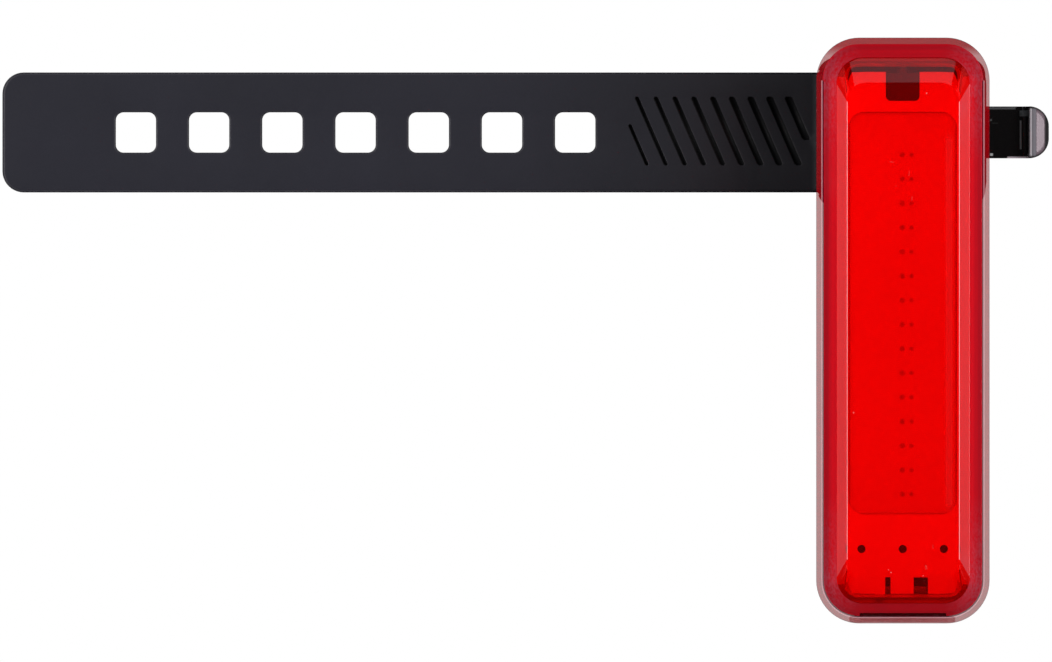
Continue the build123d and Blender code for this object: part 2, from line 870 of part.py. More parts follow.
def make_strap():
    """Silicone strap: an eye for the pin, grip grooves, square holes and a rounded end."""
    half = strap_thickness / 2
    tail = strap_reach - pin_x
    bar = Pos(-pin_x - tail / 2, -pin_depth) * Rectangle(tail, strap_thickness)
    profile = bar + Pos(-pin_x, -pin_depth) * Circle(eye_radius)
    meeting = pin_x + math.sqrt(eye_radius ** 2 - half ** 2)
    crotch = [v for v in profile.vertices() if abs(v.X + meeting) < screw_fit]
    profile = fillet(crotch, strap_blend) - Pos(-pin_x, -pin_depth) * Circle(strap_pin_radius + strap_pin_gap)
    strap = extrude(level(strap_level - strap_width / 2) * profile, strap_width)
    end_corners = strap.edges().filter_by(Axis.Y).group_by(Axis.X)[0]
    strap = fillet(end_corners, strap_end_corner)
    blend_end = -meeting - strap_blend
    faces = strap.faces().filter_by(Axis.Y)
    rims = [e for e in faces.edges() if e.center().X < blend_end - strap_thickness]
    strap = chamfer(rims, strap_edge)
    near = pin_depth - half
    far = pin_depth + half
    for place in range(hole_count):
        x = -hole_nearest - place * hole_pitch
        strap -= slab(hole_size, hole_size, hole_corner, near, far, x, strap_level)
    field_width = groove_field_outer - groove_field_inner
    field = Rectangle(field_width, strap_width - 2 * groove_side_margin)
    field_x = -(groove_field_outer + groove_field_inner) / 2
    for place in range(groove_count):
        x = -groove_nearest - place * groove_pitch
        line = Pos(x - field_x, 0) * Rot(0, 0, groove_slant) * Rectangle(groove_width, strap_width)
        groove = facing(far - groove_depth, field_x, strap_level) * (field & line)
        strap -= extrude(groove, 2 * groove_depth)
    return strap


def write(name, shape):
    """Lowers a piece, or a group of separate pieces, to the row's origin and writes it."""
    drop = Pos(0, 0, -strap_level)
    if isinstance(shape, list):
        shape = Compound(children=[drop * piece for piece in shape])
    else:
        shape = drop * shape
    export_step(shape, f"parts/{name}.step")


os.makedirs("parts", exist_ok=True)
write("lens", make_lens())
write("lens_gasket", make_gasket())
write("rear_housing", make_housing())
write("reflector_tray", make_tray())
write("led_board", make_lamp_board())
write("led_chips", make_lamps())
write("diffuser", make_diffuser())
write("lamp_pins", make_lamp_pins())
write("main_board", make_main_board())
write("driver_chips", make_driver_chips())
write("chip_parts", make_chip_parts())
write("status_lamps", make_status_lamps())
write("battery_cell", make_battery())
write("battery_foam", make_battery_foam())
write("battery_tabs", make_battery_tabs())
write("switch_body", make_switch_body())
write("button_cap", make_button_cap())
write("switch_plunger", make_switch_plunger())
write("usb_shell", make_socket_shell())
write("usb_tongue", make_socket_tongue())
write("usb_cover", make_socket_cover())
write("saddle_bracket", make_saddle())
write("saddle_pad", make_pad())
write("bracket_screws", make_bracket_screws())
write("strap_pin", make_strap_pin())
write("strap", make_strap())
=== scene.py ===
"""Looks of the rear bike light: its lens, strap, rubber pieces, finishes, studio and camera.

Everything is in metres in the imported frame. X runs across the light, Z runs up, and the lens looks
along -Y. The sizes inside the classes are in millimetres, with depths measured forwards from the
post's axis. The places inside the finishes are in metres, as the shader sees them.
"""

import logging
import math
from collections.abc import Callable
from dataclasses import dataclass
from enum import Enum, IntEnum
from functools import cache, cached_property

import bmesh
import bpy
import numpy as np
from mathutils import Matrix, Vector
from mathutils.geometry import delaunay_2d_cdt


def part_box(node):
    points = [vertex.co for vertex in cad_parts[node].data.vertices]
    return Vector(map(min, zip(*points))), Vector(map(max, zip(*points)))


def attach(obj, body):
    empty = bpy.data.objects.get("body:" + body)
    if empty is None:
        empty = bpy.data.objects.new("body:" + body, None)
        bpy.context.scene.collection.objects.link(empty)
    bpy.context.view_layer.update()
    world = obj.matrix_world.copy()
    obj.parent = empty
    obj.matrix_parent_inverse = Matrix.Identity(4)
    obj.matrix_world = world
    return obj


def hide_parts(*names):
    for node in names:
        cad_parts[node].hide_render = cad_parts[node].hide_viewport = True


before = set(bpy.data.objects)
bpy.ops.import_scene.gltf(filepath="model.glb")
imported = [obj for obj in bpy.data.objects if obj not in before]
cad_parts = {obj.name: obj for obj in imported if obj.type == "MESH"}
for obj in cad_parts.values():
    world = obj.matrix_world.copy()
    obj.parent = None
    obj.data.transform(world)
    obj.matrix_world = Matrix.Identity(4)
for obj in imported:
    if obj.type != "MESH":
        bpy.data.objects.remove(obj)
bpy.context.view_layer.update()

Array = np.ndarray
Pair = tuple[float, float]
Three = tuple[float, float, float]
Four = tuple[float, float, float, float]
Colour = Three
Material = bpy.types.Material
Piece = bpy.types.Object
Socket = bpy.types.NodeSocket
Input = float | tuple | Socket
Outputs = bpy.types.NodeOutputs

MM = 0.001
LENS_LEVEL = -24.1
DOUBLED = 2e-7
SLIVER = 1e-8
TOUCHING = 1e-6
WELDED = 2e-6
SMOOTH = 180.0
BUMP_GAIN = 10.0
WHITE = (1.0, 1.0, 1.0)
log = logging.getLogger("bike_light")


class Body(Enum):
    """The moving bodies that a piece can ride on."""

    LIGHT = "light"
    STRAP = "strap"
    BUTTON = "button"
    COVER = "cover"


class Grain(Enum):
    """How the fine surface of a finish runs."""

    SPARK = (1.0, 1.0, 1.0)
    ACROSS = (0.03, 1.0, 1.0)
    UPRIGHT = (1.0, 1.0, 0.03)


class Face(IntEnum):
    """The lens's kinds of face, which are its material slots."""

    CLEAR = 0
    RIM = 1
    SIDE = 2
    FRONT_EDGE_HIGHLIGHT = 3
    STEEP = 4
    OUTLINE_SHADE = 5
    SOFT = 6
    SEAM_HIGHLIGHT = 7
    END = 8
    BEVEL = 9
    FOOT = 10
    CORNER = 11


class Band(IntEnum):
    """The strap's kinds of face, which are its material slots."""

    PLAIN = 0
    ROLL_HIGHLIGHT = 1
    GROOVE_SHADE = 2


# Outlines


def quarter_turn(steps: int) -> Array:
    """Gives evenly spaced angles from zero to a right angle."""
    return np.linspace(0.0, np.pi / 2, steps + 1)


def circle(count: int) -> Array:
    """Gives points round a circle of radius 1, as pairs, counterclockwise."""
    turn = np.linspace(0.0, 2 * np.pi, count + 1)[:-1]
    return np.column_stack([np.cos(turn), np.sin(turn)])


def rounded_outline(width: float, length: float, corner: float, steps: int = 12) -> Array:
    """Points round a rectangle with rounded corners, counterclockwise from the front.

    Each corner is a quarter circle about a centre that lies one corner radius inside both sides.

    Args:
        width: Size across.
        length: Size upwards.
        corner: Radius of the corners.
        steps: Straight pieces in each quarter circle.

    Returns:
        An array of x and z pairs.
    """
    angles = (np.pi / 2 * np.arange(4)[:, None] + quarter_turn(steps)[None, :]).ravel()
    signs = np.array([(1.0, 1.0), (-1.0, 1.0), (-1.0, -1.0), (1.0, -1.0)])
    centres = np.repeat(signs, steps + 1, axis=0) * (width / 2 - corner, length / 2 - corner)
    return centres + corner * np.column_stack([np.cos(angles), np.sin(angles)])


def slot_outline(width: float, thickness: float, steps: int = 16) -> Array:
    """Points round a long slot: two half circles joined by straight sides, counterclockwise.

    Args:
        width: Overall size across.
        thickness: Overall size the other way, twice the radius of the ends.
        steps: Straight pieces in each half circle.

    Returns:
        An array of pairs.
    """
    radius = thickness / 2
    turn = np.linspace(-np.pi / 2, np.pi / 2, steps + 1)
    right = np.column_stack([width / 2 - radius + radius * np.cos(turn), radius * np.sin(turn)])
    return np.vstack([right, -right])


def softened(sections: Array, reach: float, steps: int = 4, most: float = 0.45) -> Array:
    """Rounds the bends of a profile.

    Every inner point becomes a quadratic curve from reach before it to reach after it, with the
    point itself as the control point.

    Args:
        sections: One row for each point of the profile.
        reach: How far from the point the curve starts and ends.
        steps: Pieces in each curve.
        most: The largest part of a side that a curve takes.

    Returns:
        The finer profile.
    """
    here = sections[1:-1]
    start, end = (
        here + way * np.minimum(most, reach / np.linalg.norm(way, axis=1))[:, None]
        for way in (sections[:-2] - here, sections[2:] - here)
    )
    t = np.linspace(0.0, 1.0, steps + 1)[None, :, None]
    curve = (1 - t) ** 2 * start[:, None] + 2 * t * (1 - t) * here[:, None] + t**2 * end[:, None]
    return np.vstack([sections[:1], curve.reshape(-1, sections.shape[1]), sections[-1:]])


def loop_normals(loop: Array) -> Array:
    """Outward directions at the points of a counterclockwise loop, each across its two neighbours.

    Args:
        loop: An array of x and z pairs.

    Returns:
        Unit vectors as x and z pairs.
    """
    along = np.roll(loop, -1, axis=0) - np.roll(loop, 1, axis=0)
    across = np.column_stack([along[:, 1], -along[:, 0]])
    return across / np.linalg.norm(across, axis=1, keepdims=True)


def inside(points: Array, loop: Array) -> Array:
    """Tells which points lie in a loop, by counting the loop's edges to the right of each.

    Args:
        points: An array of x and z pairs.
        loop: The closed loop, as x and z pairs.

    Returns:
        One boolean for each point.
    """
    here = loop[None, :, :]
    there = np.roll(loop, -1, axis=0)[None, :, :]
    level = points[:, 1][:, None]
    spans = (here[..., 1] > level) != (there[..., 1] > level)
    rise = np.where(spans, there[..., 1] - here[..., 1], 1.0)
    crossing = here[..., 0] + (level - here[..., 1]) / rise * (there[..., 0] - here[..., 0])
    return (np.sum(spans & (points[:, 0][:, None] < crossing), axis=1) % 2).astype(bool)


def place(outline: Array, depth: float, x: float = 0.0, level: float = LENS_LEVEL) -> Array:
    """Sets a flat outline of x and z pairs at a depth, looking forwards."""
    return np.column_stack([outline[:, 0] + x, np.full(len(outline), -depth), outline[:, 1] + level])


def level_ring(outline: Array, height: float, depth: float) -> Array:
    """Sets a flat outline of pairs of x and distance backwards at a height, looking up."""
    return np.column_stack([outline[:, 0], outline[:, 1] - depth, np.full(len(outline), height)])


def sheet_between(outline: Array, holes: list[Array], extra: Array) -> tuple[Array, list[list[int]]]:
    """Fills the flat region inside an outline and outside its holes with triangles.

    The triangles are those of a constrained Delaunay net whose middles lie in the region.

    Args:
        outline: The outer loop.
        holes: Loops to leave open.
        extra: Further points to pass through.

    Returns:
        The points, and the triangles counterclockwise.
    """
    loops = [outline, *holes]
    starts = np.cumsum([0] + [len(loop) for loop in loops[:-1]])
    edges = [
        np.column_stack([np.arange(len(loop)), np.roll(np.arange(len(loop)), -1)]) + start
        for loop, start in zip(loops, starts)
    ]
    points = [Vector(point) for point in np.vstack(loops + [extra])]
    net = delaunay_2d_cdt(points, np.vstack(edges).tolist(), [], 0, TOUCHING)
    flat = np.array([tuple(point) for point in net[0]])
    triangles = np.array([tuple(face) for face in net[2]])
    corners = flat[triangles]
    middle = corners.mean(axis=1)
    keep = inside(middle, outline)
    for hole in holes:
        keep &= ~inside(middle, hole)
    one = corners[:, 1] - corners[:, 0]
    two = corners[:, 2] - corners[:, 0]
    turned = one[:, 0] * two[:, 1] - one[:, 1] * two[:, 0] < 0
    triangles[turned] = triangles[turned][:, ::-1]
    return flat, triangles[keep].tolist()


class Shell:
    """Collects the surfaces of one piece, in millimetres, and turns them into a mesh object."""

    def __init__(self) -> None:
        """Starts with no surface."""
        self.points: list[Array] = []
        self.faces: list[tuple[list[int], int]] = []
        self.count = 0

    def add(self, points: Array, faces: list[list[int]], slots: list[int] | int = 0) -> None:
        """Adds points and the faces between them.

        Args:
            points: One row for each point, x, y and z.
            faces: Lists of indices into those points.
            slots: The material slot of every face, or of all.
        """
        slots = [slots] * len(faces) if isinstance(slots, int) else slots
        self.points.append(points)
        self.faces += [([self.count + i for i in face], slot) for face, slot in zip(faces, slots)]
        self.count += len(points)

    def loft(
        self, rings: Array, slots: Array | int = 0, flip: bool = False, caps: str = ""
    ) -> None:
        """Adds the surface through a stack of closed rings, four-sided between neighbours.

        Args:
            rings: Array of rings by points by three.
            slots: A material slot for each gap between rings and each point, or one for all.
            flip: Turns the faces round.
            caps: Which ends to close, of the words first and last.
        """
        count, around = rings.shape[:2]
        low = np.arange(count - 1)[:, None] * around
        here = np.arange(around)[None, :]
        there = (here + 1) % around
        quads = np.stack([low + here, low + there, low + around + there, low + around + here], axis=-1)
        faces = quads.reshape(-1, 4).tolist()
        each = np.broadcast_to(slots, (count - 1, around)).ravel().tolist()
        end_slot = each[-1]
        if "first" in caps:
            faces.append(list(range(around))[::-1])
            each.append(each[0])
        if "last" in caps:
            faces.append(list(range((count - 1) * around, count * around)))
            each.append(end_slot)
        self.add(rings.reshape(-1, 3), [face[::-1] for face in faces] if flip else faces, each)

    def solid(self, rings: list | Array, slots: int = 0, flip: bool = False) -> "Shell":
        """Adds a closed form through rings, capped at both ends, and gives the shell back."""
        self.loft(np.stack(rings), slots, flip, caps="first last")
        return self

    def mesh(self, name: str, finishes: tuple, sharp: float = SMOOTH, warp: Callable | None = None) -> Piece:
        """Builds the object, with doubled points merged.

        Args:
            name: The object's name.
            finishes: One for each material slot.
            sharp: The bend in degrees from which an edge stays sharp.
            warp: An optional change of the points, taking and giving an array in millimetres.

        Returns:
            The new object, at the origin.
        """
        points = np.vstack(self.points)
        points = warp(points) if warp else points
        data = bpy.data.meshes.new(name)
        data.from_pydata((points * MM).tolist(), [], [face for face, _ in self.faces])
        for finish in finishes:
            data.materials.append(material(finish))
        slots = np.array([slot for _, slot in self.faces], dtype=np.int32)
        data.polygons.foreach_set("material_index", slots)
        work = bmesh.new()
        work.from_mesh(data)
        bmesh.ops.remove_doubles(work, verts=work.verts, dist=DOUBLED)
        bmesh.ops.dissolve_degenerate(work, edges=work.edges, dist=SLIVER)
        work.to_mesh(data)
        work.free()
        data.polygons.foreach_set("use_smooth", np.ones(len(data.polygons), dtype=bool))
        if sharp < SMOOTH:
            data.set_sharp_from_angle(angle=math.radians(sharp))
        data.update()
        piece = bpy.data.objects.new(name, data)
        bpy.context.scene.collection.objects.link(piece)
        return piece


# Finishes


class Nodes:
    """Short ways to add and join shader nodes in one tree."""

    def __init__(self, tree: bpy.types.NodeTree) -> None:
        """Keeps the tree that the nodes go into."""
        self.tree = tree

    @classmethod
    def cleared(cls, owner: Material | bpy.types.World) -> "Nodes":
        """Empties the node tree of a material or a world.

        Args:
            owner: The material or world.

        Returns:
            The emptied nodes.
        """
        owner.use_nodes = True
        owner.node_tree.nodes.clear()
        return cls(owner.node_tree)

    @cached_property
    def coords(self) -> Socket:
        """The object coordinates."""
        return self.add("TexCoord").outputs["Object"]

    @cached_property
    def axes(self) -> Outputs:
        """The three numbers of the object coordinates."""
        return self.add("SeparateXYZ", Vector=self.coords).outputs

    @cached_property
    def facing(self) -> Outputs:
        """The three numbers of the direction that the surface faces."""
        return self.add("SeparateXYZ", Vector=self.add("NewGeometry").outputs["Normal"]).outputs

    def add(self, kind: str, settings: dict | None = None, **inputs: Input) -> bpy.types.Node:
        """Adds a node.

        Args:
            kind: The node's type, without its ShaderNode prefix.
            settings: Properties of the node.
            **inputs: Values or sockets for its inputs, by name with underscores for spaces.

        Returns:
            The node.
        """
        node = self.tree.nodes.new("ShaderNode" + kind)
        for name, value in (settings or {}).items():
            setattr(node, name, value)
        for name, value in inputs.items():
            self.put(node, name.replace("_", " "), value)
        return node

    def put(self, node: bpy.types.Node, name: str | int, value: Input) -> None:
        """Sets an input to a constant, or joins it to another node's output.

        Args:
            node: The node to change.
            name: The input's name or number.
            value: A number, colour or vector, or a socket.
        """
        socket = node.inputs[name]
        if isinstance(value, Socket):
            self.tree.links.new(value, socket)
        elif isinstance(value, tuple) and len(value) == 3 and socket.type == "RGBA":
            socket.default_value = (*value, 1.0)
        else:
            socket.default_value = value

    def math(self, operation: str, first: Input, *others: Input) -> Socket:
        """Joins values by arithmetic, from the left.

        Args:
            operation: The kind of arithmetic.
            first: The first number or socket.
            *others: The further ones, none for an operation on a single value.

        Returns:
            The result's socket.
        """
        for other in others or (0.0,):
            node = self.add("Math", {"operation": operation})
            self.put(node, 0, first)
            self.put(node, 1, other)
            first = node.outputs[0]
        return first

    def blend(self, factor: Input, one: Input, two: Input) -> Socket:
        """Blends two colours, which are the Mix node's inputs 6 and 7, into its output 2.

        Args:
            factor: How much of the second one.
            one: The first colour.
            two: The second colour.

        Returns:
            The colour's socket.
        """
        node = self.add("Mix", {"data_type": "RGBA"})
        for number, value in ((0, factor), (6, one), (7, two)):
            self.put(node, number, value)
        return node.outputs[2]

    def mix(self, factor: Socket, one: Socket, two: Socket) -> Socket:
        """Mixes two shaders.

        Args:
            factor: How much of the second one.
            one: The first shader.
            two: The second shader.

        Returns:
            The shader's socket.
        """
        node = self.add("MixShader")
        for number, value in enumerate((factor, one, two)):
            self.put(node, number, value)
        return node.outputs[0]

    def let_through(self, surface: Socket, tint: Colour) -> Socket:
        """Makes a shader cast only a shadow of the tint."""
        clear = self.add("BsdfTransparent", Color=tint).outputs[0]
        return self.mix(self.add("LightPath").outputs["Is Shadow Ray"], surface, clear)

    def remap(
        self, value: Input, low: float, high: float,
        first: float = 0.0, last: float = 1.0, way: str = "LINEAR",
    ) -> Socket:
        """Gives a number that goes from one value to another while its input goes between two limits.

        Args:
            value: The input.
            low: The limit for the first value.
            high: The limit for the last value.
            first: The result at the first limit and beyond.
            last: The result at the last limit and beyond.
            way: The kind of interpolation.

        Returns:
            The result's socket.
        """
        limits = {"From_Min": low, "From_Max": high, "To_Min": first, "To_Max": last}
        return self.add("MapRange", {"interpolation_type": way}, Value=value, **limits).outputs[0]

    def within(self, value: Input, low: float, high: float, soft: float = 0.0001) -> Socket:
        """Gives a mask that is 1 between two limits and fades to 0 just outside them.

        Args:
            value: The value to test.
            low: The lower limit.
            high: The upper limit.
            soft: Width of each fade.

        Returns:
            A value socket.
        """
        apart = self.math("ABSOLUTE", self.math("SUBTRACT", value, (low + high) / 2))
        half = (high - low) / 2
        return self.remap(apart, half + soft, half)


def new_group(name: str, values: dict[str, float], outputs: tuple) -> tuple[Nodes, Outputs, bpy.types.Node]:
    """Makes a shader group that takes a vector and some numbers, and gives numbers.

    Args:
        name: The group's name.
        values: Its number inputs, with their starting values.
        outputs: The names of its outputs.

    Returns:
        Its nodes, the sockets of its inputs, and the node that takes its outputs.
    """
    tree = bpy.data.node_groups.new(name, "ShaderNodeTree")
    tree.interface.new_socket(name="Vector", in_out="INPUT", socket_type="NodeSocketVector")
    for label, value in values.items():
        socket = tree.interface.new_socket(name=label, in_out="INPUT", socket_type="NodeSocketFloat")
        socket.default_value = value
    for label in outputs:
        tree.interface.new_socket(name=label, in_out="OUTPUT", socket_type="NodeSocketFloat")
    return Nodes(tree), tree.nodes.new("NodeGroupInput").outputs, tree.nodes.new("NodeGroupOutput")


@cache
def grain_group(ratio: float = 0.21, share: float = 0.7, mask: Pair = (0.38, 0.62)) -> bpy.types.NodeTree:
    """Fine surface grain: two noises of different size, added, as height and as a mask.

    Args:
        ratio: The coarse noise's scale in parts of the fine one's.
        share: The fine noise's part of the height.
        mask: The heights between which the mask goes from 0 to 1.

    Returns:
        The group's tree.
    """
    nodes, source, target = new_group("surface_grain", {"Scale": 2000.0}, ("Height", "Mask"))
    where, scale = source["Vector"], source["Scale"]
    fine = nodes.add("TexNoise", Vector=where, Scale=scale, Detail=3.0, Roughness=0.6).outputs[0]
    coarse = nodes.add("TexNoise", Vector=where, Scale=nodes.math("MULTIPLY", scale, ratio)).outputs[0]
    lesser = nodes.math("MULTIPLY", coarse, 1.0 - share)
    height = nodes.math("ADD", nodes.math("MULTIPLY", fine, share), lesser)
    nodes.put(target, "Height", height)
    nodes.put(target, "Mask", nodes.remap(height, *mask))
    return nodes.tree


@cache
def dust_group(
    speck: Pair = (0.10, 0.04), bare: float = 0.86, cloudy: Pair = (0.35, 0.7)
) -> bpy.types.NodeTree:
    """Settled dust and rubbed patches: sparse specks from a cell pattern over a broad cloudy mask.

    Args:
        speck: The distances from a cell's middle between which its speck fades in.
        bare: The limit that a cell's random shade has to pass to have a speck.
        cloudy: The values of the noise between which the mask goes from 0 to 1.

    Returns:
        The group's tree.
    """
    scales = {"Speck Scale": 900.0, "Cloud Scale": 60.0}
    nodes, source, target = new_group("dust_and_wear", scales, ("Specks", "Cloud"))
    cells = nodes.add("TexVoronoi", Vector=source["Vector"], Scale=source["Speck Scale"]).outputs
    near = nodes.remap(cells["Distance"], *speck)
    cloud = nodes.add("TexNoise", Vector=source["Vector"], Scale=source["Cloud Scale"], Detail=4.0)
    few = nodes.math("GREATER_THAN", cells["Color"], bare)
    nodes.put(target, "Specks", nodes.math("MULTIPLY", near, few))
    nodes.put(target, "Cloud", nodes.remap(cloud.outputs[0], *cloudy))
    return nodes.tree


@dataclass(frozen=True)
class Finish:
    """An opaque finish: moulded plastic, rubber, metal, board or foil.

    Colours are linear. Grain is in cells per metre. The alpha can change to another one at the light's top,
    which paints a shade there, and a shadow colour makes the surface let light through.
    """

    name: str
    colour: Colour
    second: Colour
    roughness: Pair = (0.4, 0.55)
    grain: float = 2500.0
    bump: float = 0.02
    metallic: float = 0.0
    run: Grain = Grain.SPARK
    coat: float = 0.0
    specular: float = 0.5
    specks: float = 0.0
    speck_colour: Colour = (0.35, 0.35, 0.37)
    alpha: float = 1.0
    top_shade_alpha: float = 0.0
    top: Pair = (0.0092, 0.0104)
    shadow: Colour | None = None
    relief: float = 5e-5
    coat_rough: float = 0.06

    def shades(self, nodes: Nodes, cloud: Socket) -> Socket:
        """Gives the base colour: the two colours by the cloudy mask."""
        return nodes.blend(cloud, self.colour, self.second)

    def gloss(self, nodes: Nodes, mask: Socket) -> Socket:
        """Gives the roughness: from the lower to the higher one by the grain's mask."""
        span = self.roughness[1] - self.roughness[0]
        return nodes.math("ADD", nodes.math("MULTIPLY", mask, span), self.roughness[0])

    def make(self) -> Material:
        """Builds the material.

        Returns:
            The new material.
        """
        made = bpy.data.materials.new(self.name)
        nodes = Nodes.cleared(made)
        stretch = nodes.add("Mapping", Vector=nodes.coords, Scale=self.run.value).outputs[0]
        grain = nodes.add("Group", {"node_tree": grain_group()}, Vector=stretch, Scale=self.grain).outputs
        dust = nodes.add("Group", {"node_tree": dust_group()}, Vector=nodes.coords).outputs
        colour = self.shades(nodes, dust["Cloud"])
        if self.specks:
            amount = nodes.math("MULTIPLY", dust["Specks"], self.specks)
            colour = nodes.blend(amount, colour, self.speck_colour)
        strength = min(1.0, self.bump * BUMP_GAIN)
        relief = nodes.add("Bump", Height=grain["Height"], Strength=strength, Distance=self.relief)
        alpha = self.alpha
        # painted shade: the alpha changes towards the light's top, making the surface darker there
        if self.top_shade_alpha:
            alpha = nodes.remap(nodes.axes[2], *self.top, self.alpha, self.top_shade_alpha)
        shader = nodes.add(
            "BsdfPrincipled",
            Base_Color=colour,
            Roughness=self.gloss(nodes, grain["Mask"]),
            Normal=relief.outputs[0],
            Metallic=self.metallic,
            Specular_IOR_Level=self.specular,
            Coat_Weight=self.coat,
            Coat_Roughness=self.coat_rough,
            Alpha=alpha,
        )
        surface = shader.outputs[0]
        if self.shadow:
            surface = nodes.let_through(surface, self.shadow)
        nodes.add("OutputMaterial", Surface=surface)
        return made


@dataclass(frozen=True)
class StrapShadeFinish(Finish):
    """Silicone with a painted shade that deepens its colour towards the light's body."""

    near: Colour = (0.011, 0.010, 0.014)
    reach: Pair = (-0.060, -0.009)

    def shades(self, nodes: Nodes, cloud: Socket) -> Socket:
        """Gives the cloudy colour, blended along the strap to the near one, which is painted shade."""
        # painted shade: the colour darkens towards the light's body, where the lens shades the strap
        along = nodes.remap(nodes.axes[0], *self.reach, way="SMOOTHSTEP")
        return nodes.blend(along, super().shades(nodes, cloud), self.near)


@dataclass(frozen=True)
class HookFinish(Finish):
    """Glossy black plastic, with painted reflections on the hook's end and painted highlights on its edges.

    The end is the part of a rounded rectangle beyond a line across it. Its rim stays black: the rim
    and the dull edge each fade between two distances from the outline. Front holds the limits of the
    direction that the painted marks show in. A band of painted reflection holds its limits across, its
    softness and its colour, and a painted mark, mostly a highlight, its limits across and up and its
    colour. The saddle beside the hook is satin.
    """

    start: float = 0.0154
    centre: float = 0.0129
    half: Pair = (0.0050, 0.00315)
    corner: float = 0.0022
    saddle_end: float = 0.0102
    reflection_bands: tuple = (
        (0.01583, 0.01630, 0.0001, (0.20, 0.19, 0.215)),
        (0.01548, 0.01574, 0.0001, (1.00, 0.95, 1.00)),
        (0.01645, 0.01730, 0.0002, (0.17, 0.12, 0.145)),
    )
    painted_marks: tuple = (
        (0.01040, 0.01380, 0.00285, 0.00302, (0.12, 0.12, 0.125)),
        (0.01078, 0.01092, 0.00143, 0.00155, (0.12, 0.12, 0.12)),
        (0.01100, 0.01170, 0.00108, 0.00114, (0.02, 0.02, 0.02)),
        (0.01442, 0.01452, -0.0020, 0.0014, (0.17, 0.16, 0.165)),
        (0.01440, 0.01530, 0.0020, 0.0026, (0.09, 0.095, 0.10)),
        (0.01290, 0.01550, -0.0034, -0.00300, (0.65, 0.55, 0.60)),
        (0.01080, 0.01105, -0.0028, -0.00260, (0.60, 0.60, 0.60)),
    )
    rim: Pair = (-0.00016, -0.00036)
    edge: Pair = (-0.00062, -0.00040)
    front: Pair = (-0.2, -0.5)
    dull_strip: Pair = (0.0158, 0.0163)
    dulled: float = 0.6
    satin: float = 0.40

    def rim_distance(self, nodes: Nodes) -> Socket:
        """Gives the signed distance to the rounded rectangle, below zero inside it.

        With q the distance beyond the inner rectangle on each axis, it is the length of q's positive
        part plus the larger negative one, less the corner's radius.

        Args:
            nodes: The material's nodes.

        Returns:
            A value socket.
        """
        squares = []
        beyond = []
        for axis, middle, half in ((0, self.centre, self.half[0]), (2, 0.0, self.half[1])):
            apart = nodes.math("ABSOLUTE", nodes.math("SUBTRACT", nodes.axes[axis], middle))
            beyond.append(nodes.math("SUBTRACT", apart, half - self.corner))
            positive = nodes.math("MAXIMUM", beyond[-1], 0.0)
            squares.append(nodes.math("MULTIPLY", positive, positive))
        length = nodes.math("SQRT", nodes.math("ADD", *squares))
        inner = nodes.math("MINIMUM", nodes.math("MAXIMUM", *beyond), 0.0)
        return nodes.math("SUBTRACT", nodes.math("ADD", length, inner), self.corner)

    def shades(self, nodes: Nodes, cloud: Socket) -> Socket:
        """Gives black, with the end's painted bright line, grey strip and pale middle, and painted marks.

        Args:
            nodes: The material's nodes.
            cloud: The broad mask.

        Returns:
            A colour socket.
        """
        colour = super().shades(nodes, cloud)
        front = nodes.remap(nodes.facing[1], *self.front)
        rim = nodes.math("MULTIPLY", nodes.remap(self.rim_distance(nodes), *self.rim), front)
        # painted reflections across the hook's end: a grey strip, a bright highlight line and a pale middle,
        # kept off its black rim
        for low, high, soft, shade in self.reflection_bands:
            mask = nodes.within(nodes.axes[0], low, high, soft)
            colour = nodes.blend(nodes.math("MULTIPLY", mask, rim), colour, shade)
        # painted highlights along the hook's edges, with a few small grey and dark marks
        for left, right, low, high, shade in self.painted_marks:
            across = nodes.within(nodes.axes[0], left, right)
            upwards = nodes.within(nodes.axes[2], low, high)
            colour = nodes.blend(nodes.math("MULTIPLY", across, upwards, front), colour, shade)
        return colour

    def gloss(self, nodes: Nodes, mask: Socket) -> Socket:
        """Gives the polish, which is lost along the rim of the hook's end and lower on the saddle.

        Args:
            nodes: The material's nodes.
            mask: The grain's mask.

        Returns:
            A value socket.
        """
        across = nodes.axes[0]
        edge = nodes.remap(self.rim_distance(nodes), *self.edge)
        edge = nodes.math("MULTIPLY", edge, nodes.math("GREATER_THAN", across, self.start))
        dull = nodes.math("MAXIMUM", edge, nodes.within(across, *self.dull_strip))
        satin = nodes.math("MULTIPLY", nodes.math("LESS_THAN", across, self.saddle_end), self.satin)
        return nodes.math("ADD", super().gloss(nodes, mask), satin, nodes.math("MULTIPLY", dull, self.dulled))


